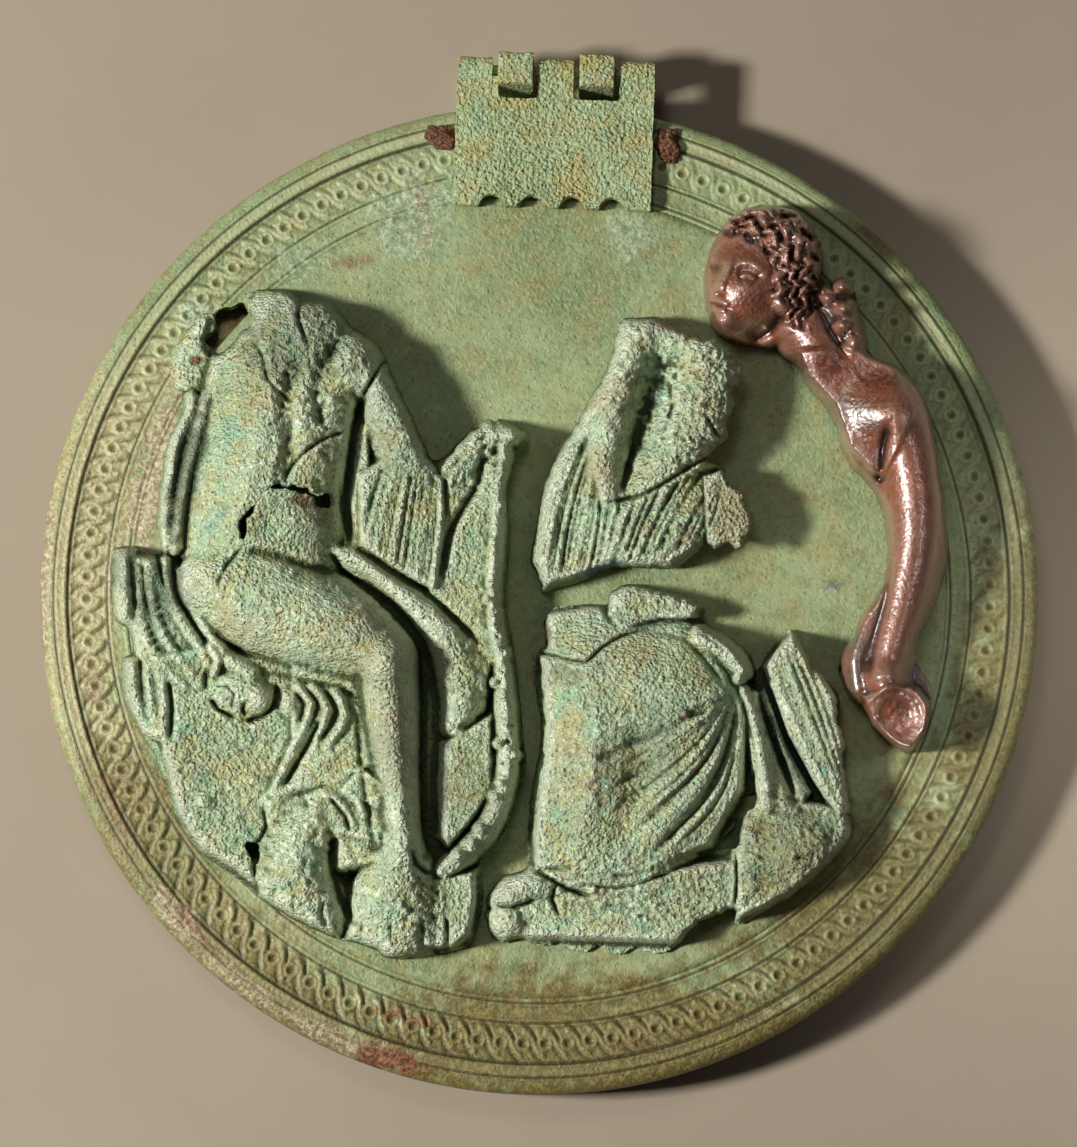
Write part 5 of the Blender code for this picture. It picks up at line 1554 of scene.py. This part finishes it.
class Nodes:
    """A short way to write a node tree."""

    def __init__(self, tree: bpy.types.NodeTree):
        """Keeps the tree and adds the object's own coordinates."""
        self.tree = tree
        self.place = self.node("ShaderNodeTexCoord").outputs["Object"]

    def node(self, kind: str, **settings) -> bpy.types.Node:
        """Adds a node with the given values of its properties."""
        made = self.tree.nodes.new(kind)
        for name, value in settings.items():
            setattr(made, name, value)
        return made

    def feed(self, target: bpy.types.NodeSocket, value) -> None:
        """Links a socket to the target, or sets its value."""
        if isinstance(value, bpy.types.NodeSocket):
            self.tree.links.new(value, target)
        else:
            target.default_value = value

    def calculate(self, operation: str, *values) -> bpy.types.NodeSocket:
        """A sum on sockets or numbers."""
        made = self.node("ShaderNodeMath", operation=operation)
        for target, value in zip(made.inputs, values):
            self.feed(target, value)
        return made.outputs[0]

    def fit(self, value, *ranges: float) -> bpy.types.NodeSocket:
        """A value stretched from one range to another, which is 0 to 1 where it isn't given."""
        made = self.node("ShaderNodeMapRange")
        for target, given in zip(made.inputs, (value, *ranges)):
            self.feed(target, given)
        return made.outputs[0]

    def blend(self, share, first, second) -> bpy.types.NodeSocket:
        """A mix of two colours.

        Args:
            share: Share of the second.
            first: The first colour.
            second: The second colour.

        Returns:
            The mix.
        """
        made = self.node("ShaderNodeMix", data_type="RGBA")
        for number, value in ((0, share), (6, first), (7, second)):
            self.feed(made.inputs[number], value)
        return made.outputs[2]

    def clouds(
        self, size: float, detail: float, rough: float, low: float, high: float
    ) -> bpy.types.NodeSocket:
        """Cloudy values from 0 to 1.

        Args:
            size: Distance in metres over which they change.
            detail: How many finer layers they have.
            rough: How strong the finer layers are.
            low: Value of the noise that becomes 0.
            high: Value of the noise that becomes 1.

        Returns:
            The values.
        """
        cloud = self.node("ShaderNodeTexNoise")
        inputs = {"Scale": 1.0 / size, "Detail": detail, "Roughness": rough, "Vector": self.place}
        for name, value in inputs.items():
            self.feed(cloud.inputs[name], value)
        return self.fit(cloud.outputs[0], low, high)

    def cells(self, size: float, low: float, high: float) -> bpy.types.NodeSocket:
        """Values by the distance to the middle of random cells, from 0 at low to 1 at high."""
        cell = self.node("ShaderNodeTexVoronoi")
        self.feed(cell.inputs["Scale"], 1.0 / size)
        self.feed(cell.inputs["Vector"], self.place)
        return self.fit(cell.outputs["Distance"], low, high)


class Shader(Nodes):
    """A material and a short way to write its nodes."""

    def __init__(self, name: str):
        """Makes the material."""
        self.material = bpy.data.materials.new(name)
        self.material.use_nodes = True
        super().__init__(self.material.node_tree)
        self.surface = self.tree.nodes["Principled BSDF"]

    def set_surface(self, **values) -> None:
        """Sets or links the surface's sockets, with a low line in place of each space in their names."""
        for name, value in values.items():
            self.feed(self.surface.inputs[name.replace("_", " ")], value)

    def mask(self, name: str) -> bpy.types.NodeSocket:
        """A value stored on the mesh's points."""
        return self.node("ShaderNodeAttribute", attribute_name=name).outputs["Fac"]


def patina_masks() -> bpy.types.NodeTree:
    """The group of masks that all patinas share: drifts, blotches, dark and light grains, and pits."""
    tree = bpy.data.node_groups.new("patina_masks", "ShaderNodeTree")
    nodes = Nodes(tree)
    masks = {
        "Drift": nodes.clouds(24 * MM, 3.0, 0.55, 0.38, 0.62),
        "Warm Patch": nodes.clouds(7.3 * MM, 5.0, 0.68, 0.47, 0.60),
        "Cool Patch": nodes.clouds(5.1 * MM, 5.0, 0.68, 0.54, 0.64),
        "Blotch": nodes.clouds(3.7 * MM, 4.0, 0.66, 0.50, 0.66),
        "Dark Grain": nodes.clouds(1.5 * MM, 4.0, 0.7, 0.50, 0.64),
        "Light Grain": nodes.clouds(0.8 * MM, 3.0, 0.65, 0.44, 0.64),
        "Grain Height": nodes.cells(0.68 * MM, 0.75, 0.0),
        "Pits": nodes.cells(1.1 * MM, 0.30, 0.10),
    }
    for name in masks:
        tree.interface.new_socket(name, in_out="OUTPUT", socket_type="NodeSocketFloat")
    out = nodes.node("NodeGroupOutput")
    for name, value in masks.items():
        nodes.feed(out.inputs[name], value)
    return tree


# Strength of each kind of stain, and its colours between and on the fine grains
STAIN_TONES = {
    Tint.TAN: (0.7, srgb(172, 154, 108), srgb(214, 202, 162)),
    Tint.OLIVE: (0.8, srgb(92, 72, 20), srgb(142, 116, 42)),
    Tint.MINT: (0.9, srgb(118, 150, 112), srgb(210, 222, 198)),
    Tint.BLUE: (0.9, srgb(44, 76, 84), srgb(150, 178, 196)),
    Tint.CRUST: (0.9, srgb(138, 118, 86), srgb(212, 198, 168)),
    Tint.RUST: (0.9, srgb(92, 46, 30), srgb(160, 92, 62)),
}
# The dark green of the painted shade.
PAINTED_SHADE_GREEN = srgb(48, 66, 44)


@dataclass(frozen=True)
class Patina:
    """A corroded bronze finish.

    Args:
        name: Name of the material.
        light: Colour of the lighter drifts.
        middle: Colour between.
        deep: Colour of the hollows, partly patina and partly painted shade.
        fleck: Colour of fine flecks.
        warm: Colour of the browner patches.
        cool: Colour of the bluer patches.
        metallic: Share of bare metal.
        rough: Roughness.
        bump: Depth of the grain in metres.
        mottle: How strongly the blotches and grains show, from 0 to 1.
        coat: Strength of a glossy coat.
    """

    name: str
    light: tuple
    middle: tuple
    deep: tuple
    fleck: tuple
    warm: tuple
    cool: tuple
    metallic: float
    rough: float
    bump: float
    mottle: float
    coat: float = 0.0

    def clouds(self, shader: Shader, cloud: bpy.types.Node) -> bpy.types.NodeSocket:
        """The colour that the shared masks give.

        Args:
            shader: The material.
            cloud: The node of the shared masks.

        Returns:
            The colour.
        """
        colour = shader.blend(cloud.outputs["Drift"], self.middle, self.light)
        for mask, share, tone in (
            ("Warm Patch", 0.75, self.warm),
            ("Cool Patch", 0.75, self.cool),
            ("Blotch", 0.28, self.deep),
            ("Dark Grain", 0.36, self.deep),
            ("Light Grain", 0.55, self.fleck),
        ):
            share = shader.calculate("MULTIPLY", cloud.outputs[mask], share * self.mottle)
            colour = shader.blend(share, colour, tone)
        return colour

    def local_colours(self, shader: Shader, grain: bpy.types.NodeSocket, colour) -> bpy.types.NodeSocket:
        """The colour with the hollows, the stains and the painted shade that the mesh is marked with.

        Args:
            shader: The material.
            grain: The mask of fine grains, which mottles each stain.
            colour: The colour before.

        Returns:
            The colour with them.
        """
        def stained(ground: bpy.types.NodeSocket, *tints: Tint) -> bpy.types.NodeSocket:
            """The colour with some kinds of stain on it, in order."""
            for tint in tints:
                strength, low, high = STAIN_TONES[tint]
                share = shader.calculate("MULTIPLY", shader.mask(tint.value), strength)
                ground = shader.blend(share, ground, shader.blend(grain, low, high))
            return ground

        hollow = shader.mask("hollow")
        colour = shader.blend(shader.fit(hollow, 0.44, 0.14, 0.0, 0.75), colour, self.fleck)
        colour = stained(colour, Tint.TAN, Tint.OLIVE)
        # Hollows darken towards the deep colour: patina in the recesses, and painted shade over the wide
        # valleys.
        colour = shader.blend(shader.fit(hollow, 0.55, 0.95, 0.0, 0.9), colour, self.deep)
        # Painted shade: the marked valleys, undersides and holes turn dark green.
        colour = shader.blend(shader.calculate("MULTIPLY", shader.mask("dark"), 0.75), colour, PAINTED_SHADE_GREEN)
        return stained(colour, Tint.MINT, Tint.BLUE, Tint.CRUST, Tint.RUST)

    def make(self, masks: bpy.types.NodeTree, marked: bool = True) -> bpy.types.Material:
        """Builds the material.

        Args:
            masks: The shared group of masks.
            marked: Whether the mesh is marked with local colours.

        Returns:
            The material.
        """
        shader = Shader(self.name)
        cloud = shader.node("ShaderNodeGroup", node_tree=masks)
        grain, pits = cloud.outputs["Light Grain"], cloud.outputs["Pits"]
        colour = self.clouds(shader, cloud)
        if marked:
            colour = self.local_colours(shader, grain, colour)
        in_pits = shader.calculate("MULTIPLY", pits, 0.5 * self.mottle)
        shader.set_surface(
            Base_Color=shader.blend(in_pits, colour, self.deep),
            Roughness=shader.fit(grain, 0.0, 1.0, self.rough - 0.08, self.rough + 0.1),
            Metallic=self.metallic,
            Coat_Weight=self.coat,
            Coat_Roughness=COAT_ROUGHNESS,
            Coat_IOR=COAT_IOR,
        )
        coarse = shader.fit(cloud.outputs["Drift"], 0.0, 1.0, 1.7, 0.5)
        grains = shader.calculate("MULTIPLY_ADD", cloud.outputs["Grain Height"], coarse, grain)
        height = shader.calculate("SUBTRACT", grains, pits)
        for target, share in (("Normal", 1.0), ("Coat Normal", 0.35)):
            bump = shader.node("ShaderNodeBump")
            for name, value in (("Distance", self.bump * share), ("Strength", 1.0), ("Height", height)):
                shader.feed(bump.inputs[name], value)
            shader.feed(shader.surface.inputs[target], bump.outputs[0])
        return shader.material


def patina(name: str, tones: tuple[tuple[int, int, int], ...], *values: float) -> Patina:
    """A patina with its tones, from light to cool, as screen values, and its other values in order."""
    return Patina(name, *(srgb(*tone) for tone in tones), *values)


RELIEF_PATINA = patina(
    "relief_patina",
    ((202, 228, 184), (180, 206, 154), (70, 80, 36), (236, 244, 214), (216, 198, 118), (132, 202, 166)),
    0.0, 0.75, 0.40 * MM, 0.85,
)
COVER_PATINA = patina(
    "cover_patina",
    ((158, 174, 124), (130, 148, 100), (58, 54, 24), (196, 196, 150), (164, 148, 84), (118, 154, 114)),
    0.1, 0.55, 0.05 * MM, 0.6,
)
HINGE_PATINA = patina(
    "hinge_patina",
    ((190, 210, 156), (166, 186, 132), (72, 80, 36), (230, 234, 190), (212, 180, 92), (136, 188, 156)),
    0.0, 0.75, 0.30 * MM, 0.75,
)
CLEANED_BRONZE = patina(
    "cleaned_bronze",
    ((156, 94, 64), (128, 70, 44), (48, 27, 20), (168, 128, 108), (180, 82, 30), (118, 90, 78)),
    0.2, 0.40, 0.05 * MM, 0.5, 1.0,
)
MIRROR_BRONZE = patina(
    "mirror_bronze",
    ((132, 118, 78), (110, 98, 64), (48, 44, 30), (150, 138, 98), (134, 104, 62), (86, 98, 70)),
    0.7, 0.34, 0.02 * MM, 0.4,
)
IRON_RUST = patina(
    "iron_rust",
    ((128, 84, 60), (92, 56, 42), (40, 22, 18), (170, 130, 92), (150, 84, 44), (84, 74, 62)),
    0.0, 0.85, 0.4 * MM, 0.8,
)


@dataclass(frozen=True)
class Weathered:
    """A solid of the hinge with its corners rounded and its surface eaten back.

    Args:
        name: Name of the piece.
        node: Name of the solid that it stands for.
        body: The body that it rides on.
        cell: Size of the mesh's cells in metres.
        eaten: Depth of the corrosion in metres.
        ridges: Whether the double lines round the scallops stand out.
    """

    name: str
    node: str
    body: str
    cell: float
    eaten: float
    ridges: bool = False

    def fine_mesh(self) -> bpy.types.Mesh:
        """A copy of the solid with small even faces and soft corners."""
        work = bmesh.new()
        work.from_mesh(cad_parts[self.node].data)
        bmesh.ops.remove_doubles(work, verts=work.verts[:], dist=WELD)
        rough = mesh_of(work, self.name + "_rough")
        holder = add_object(rough.name, rough)
        remesh = holder.modifiers.new("cells", "REMESH")
        remesh.mode = "VOXEL"
        remesh.voxel_size = self.cell
        smooth = holder.modifiers.new("soft", "SMOOTH")
        smooth.factor = 0.5
        smooth.iterations = 3
        graph = bpy.context.evaluated_depsgraph_get()
        mesh = bpy.data.meshes.new_from_object(holder.evaluated_get(graph))
        mesh.name = self.name
        bpy.data.objects.remove(holder)
        bpy.data.meshes.remove(rough)
        return mesh

    @staticmethod
    def scallop_lines(x: Points, y: Points) -> Points:
        """The double lines round the four scallops.

        Args:
            x: Places along the hinge.
            y: Places across it.

        Returns:
            How far they stand out, from 0 to 1.
        """
        best = np.zeros_like(x)
        for place in (-1.5, -0.5, 0.5, 1.5):
            reach = np.hypot(x - place * SCALLOP_SPACING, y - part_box("cover_hinge_plate")[0].y)
            for line in (SCALLOP_RADIUS + 0.5 * MM, SCALLOP_RADIUS + 1.35 * MM):
                best = np.maximum(best, np.exp(-(((reach - line) / (0.26 * MM)) ** 2)))
        return best

    def make(self, material: bpy.types.Material) -> None:
        """Builds the piece and puts it in its solid's place.

        Args:
            material: Its finish.
        """
        mesh = self.fine_mesh()
        places, normals = rows_of(mesh), rows_of(mesh, "normal")
        x, y = places[:, 0] + 0.6 * places[:, 2], places[:, 1] + 0.8 * places[:, 2]
        lumps = 0.5 * lattice_noise(x, y, 2.4 * MM, 41) + 0.5 * lattice_noise(x, y, 1.1 * MM, 42)
        lumps += 0.45 * lattice_noise(x, y, 0.6 * MM, 43)
        pull = self.eaten * np.clip(0.55 + 0.55 * lumps, 0.0, 1.4)
        if self.ridges:
            facing_up = np.clip(normals[:, 2] * 3.0 - 2.0, 0.0, 1.0)
            pull = np.maximum(pull, 1.1 * self.eaten * facing_up)
            pull *= 1.0 - 0.9 * facing_up * self.scallop_lines(places[:, 0], places[:, 1])
        places -= normals * pull[:, None]
        mesh.vertices.foreach_set("co", places.ravel())
        Place(self.body, "hinge_patina", self.node).fill(mesh, material)


@dataclass(frozen=True)
class MirrorDisc:
    """The lower half: a turned disc with a polished face, an upstanding rim and turned rings below.

    Args:
        steps: Points round each circle.
        turned_rings: Radii in mm of the rings under it.
    """

    steps: int = 256
    turned_rings: tuple[float, ...] = (46.0, 33.0, 20.0)

    def section(self) -> Rows:
        """Radius and height, in mm, round half the disc's section from the middle of its face."""
        path = [
            (0.0, 6.4), (40.0, 6.4), (79.2, 6.4), (79.7, 6.5), (79.85, 6.9), (79.85, 8.9), (80.05, 9.22),
            (80.4, 9.28), (80.75, 9.22), (81.0, 8.9), (81.3, 7.8), (81.6, 7.45), (82.2, 7.38), (84.0, 7.38),
            (84.5, 7.2), (84.68, 6.8), (84.68, 3.2), (84.5, 2.8), (84.1, 2.62), (64.2, 2.62), (63.9, 2.4),
            (63.5, 0.3), (63.2, 0.02), (58.8, 0.02), (58.5, 0.3), (58.1, 3.3), (57.6, 3.6),
        ]
        outer_half = [(2.3, 3.6), (2.0, 3.75), (1.7, 3.6), (1.2, 3.5), (0.6, 2.7), (0.0, 2.32)]
        inner_half = [(-off, height) for off, height in outer_half[-2::-1]]
        for radius in self.turned_rings:
            path += [(radius + off, height) for off, height in outer_half + inner_half]
        return path + [(9.3, 3.6), (8.9, 3.2), (8.6, 0.3), (8.2, 0.02), (1.2, 0.02), (0.0, 0.7)]

    def make(self, material: bpy.types.Material) -> None:
        """Turns the section round and puts the piece in its solid's place.

        Args:
            material: Its finish.
        """
        work = bmesh.new()
        verts = [work.verts.new((radius * MM, 0.0, height * MM)) for radius, height in self.section()]
        edges = [work.edges.new(pair) for pair in zip(verts, verts[1:])]
        middle, up = (0.0, 0.0, 0.0), (0.0, 0.0, 1.0)
        bmesh.ops.spin(work, geom=verts + edges, cent=middle, axis=up, dvec=middle,
                       angle=math.tau, steps=self.steps, use_merge=True)
        bmesh.ops.remove_doubles(work, verts=work.verts[:], dist=WELD)
        bmesh.ops.recalc_face_normals(work, faces=work.faces[:])
        mesh = mesh_of(work, "turned_mirror_disc")
        Place(MIRROR_BODY, "mirror_bronze", "mirror_disc").fill(mesh, material)


@dataclass(frozen=True)
class Lump:
    """A lump of iron rust on the cover.

    Args:
        name: Name of the piece.
        x: Place across the drawing.
        y: Place down the drawing.
        half_sizes: Half sizes in mm.
    """

    name: str
    x: float
    y: float
    half_sizes: tuple[float, float, float]

    def make(self, material: bpy.types.Material) -> None:
        """Builds the lump on the cover's ground.

        Args:
            material: Its finish.
        """
        work = bmesh.new()
        bmesh.ops.create_icosphere(work, subdivisions=5, radius=1.0)
        x, y, z = places_of(work).T
        rough = 1.0 + 0.34 * lattice_noise(x + z, y - z, 0.5, 51)
        rough += 0.16 * lattice_noise(x - z, y + z, 0.17, 52)
        centre = np.array((*on_drawing(self.x, self.y), COVER_TOP + 0.4 * MM))
        move_points(work, centre + places_of(work) * rough[:, None] * np.array(self.half_sizes) * MM)
        Place(COVER_BODY, "hinge_patina").fill(mesh_of(work, self.name), material)


@dataclass(frozen=True)
class Photograph:
    """The table, the lights and the camera.

    Args:
        table_half: Half the table's side in metres.
        room_strength: Strength of the light from all round.
        sensor: Width of the camera's sensor in mm.
        clip: Nearest and furthest distance that the camera sees, in metres.
    """

    table_half: float = 2.5
    room_strength: float = 0.055
    sensor: float = 36.0
    clip: tuple[float, float] = (0.05, 10.0)

    def make_table(self) -> None:
        """A pale, plain surface under the mirror."""
        work = bmesh.new()
        bmesh.ops.create_grid(work, x_segments=8, y_segments=8, size=self.table_half)
        obj = add_object("table", mesh_of(work, "table"))
        shader = Shader("table_paper")
        cloud = shader.clouds(60 * MM, 4.0, 0.6, 0.3, 0.7)
        paper = shader.blend(cloud, srgb(163, 149, 128), srgb(169, 155, 134))
        shader.set_surface(Base_Color=paper, Roughness=0.85)
        obj.data.materials.append(shader.material)

    @staticmethod
    def add_light(data: bpy.types.Light, watts: float, place: tuple, target: tuple = (0, 0, 0)) -> None:
        """Puts a light in the scene.

        Args:
            data: The light.
            watts: Its power.
            place: Where it stands.
            target: Where it looks.
        """
        data.energy = watts
        light = add_object(data.name, data)
        light.location = place
        light.rotation_mode = "QUATERNION"
        light.rotation_quaternion = (Vector(target) - Vector(place)).to_track_quat("-Z", "Y")

    def make_lights(self) -> None:
        """Soft square lights that look at the mirror, and a spot for the side away from the main one."""
        for name, place, side, watts, warmth in (
            ("key", (-0.712, -0.115, 0.692), 0.12, 11.9, 0.12),
            ("top", (-0.155, 0.268, 0.951), 0.20, 0.9, 0.05),
            ("fill", (0.7, 0.1, 1.1), 0.8, 0.15, 0.0),
        ):
            data = bpy.data.lights.new(name, "AREA")
            data.size = side
            data.color = (1.0, 1.0 - 0.12 * warmth, 1.0 - 0.25 * warmth)
            self.add_light(data, watts, place)
        data = bpy.data.lights.new("accent", "SPOT")
        data.spot_size = math.radians(36.0)
        data.spot_blend = 1.0
        data.shadow_soft_size = 0.04
        self.add_light(data, 2.5, (0.30, 0.01, 0.26), (0.155, 0.0, 0.0))

    def make_camera(self) -> None:
        """The camera, straight above but for a small lean to the lower edge."""
        data = bpy.data.cameras.new("camera")
        data.sensor_width = self.sensor
        data.clip_start, data.clip_end = self.clip
        data.lens = self.sensor * FOCAL / PICTURE[1]
        data.shift_x = (PICTURE[0] / 2.0 - AIM[0]) / PICTURE[1]
        data.shift_y = (AIM[1] - PICTURE[1] / 2.0) / PICTURE[1]
        camera = add_object("camera", data)
        target = Vector((0.0, 0.0, COVER_TOP))
        eye = target + Vector((*EYE, EYE_HEIGHT))
        back = (eye - target).normalized()
        up = Vector((-math.sin(DRAWING_TURN), math.cos(DRAWING_TURN), 0.0))
        right = up.cross(back).normalized()
        turned = Matrix((right, back.cross(right), back)).transposed()
        camera.matrix_world = Matrix.Translation(eye) @ turned.to_4x4()
        bpy.context.scene.camera = camera

    def make(self) -> None:
        """Builds the set."""
        self.make_table()
        self.make_lights()
        world = bpy.data.worlds.new("room")
        world.use_nodes = True
        colour, strength = world.node_tree.nodes["Background"].inputs[:2]
        colour.default_value = srgb(190, 186, 180)
        strength.default_value = self.room_strength
        bpy.context.scene.world = world
        bpy.context.scene.view_settings.view_transform = "Standard"
        self.make_camera()


def main() -> None:
    """Builds every piece in order."""
    logging.basicConfig(level=logging.INFO, format="%(message)s")
    masks = patina_masks()
    relief_green = RELIEF_PATINA.make(masks)
    Cover(COVER_PATINA.make(masks)).make()
    for design in (seated_figure(), torso_fragment(), drapery_fragment()):
        design.make(relief_green)
    head_and_arm().make(CLEANED_BRONZE.make(masks))
    hinge = HINGE_PATINA.make(masks, marked=False)
    for part in (
        Weathered("corroded_hinge_plate", "cover_hinge_plate", COVER_BODY, 0.26 * MM, 0.30 * MM, True),
        Weathered("corroded_lower_bracket", "lower_hinge_bracket", MIRROR_BODY, 0.32 * MM, 0.26 * MM),
        Weathered("corroded_pin", "hinge_pin", MIRROR_BODY, 0.16 * MM, 0.06 * MM),
    ):
        part.make(hinge)
    MirrorDisc().make(MIRROR_BRONZE.make(masks, marked=False))
    rust = IRON_RUST.make(masks, marked=False)
    Lump("iron_lump_left", 441.0, 119.0, (2.3, 1.9, 1.3)).make(rust)
    Lump("iron_lump_right", 668.0, 127.0, (1.9, 2.7, 1.4)).make(rust)
    Photograph().make()


if __name__ == "__main__":
    main()
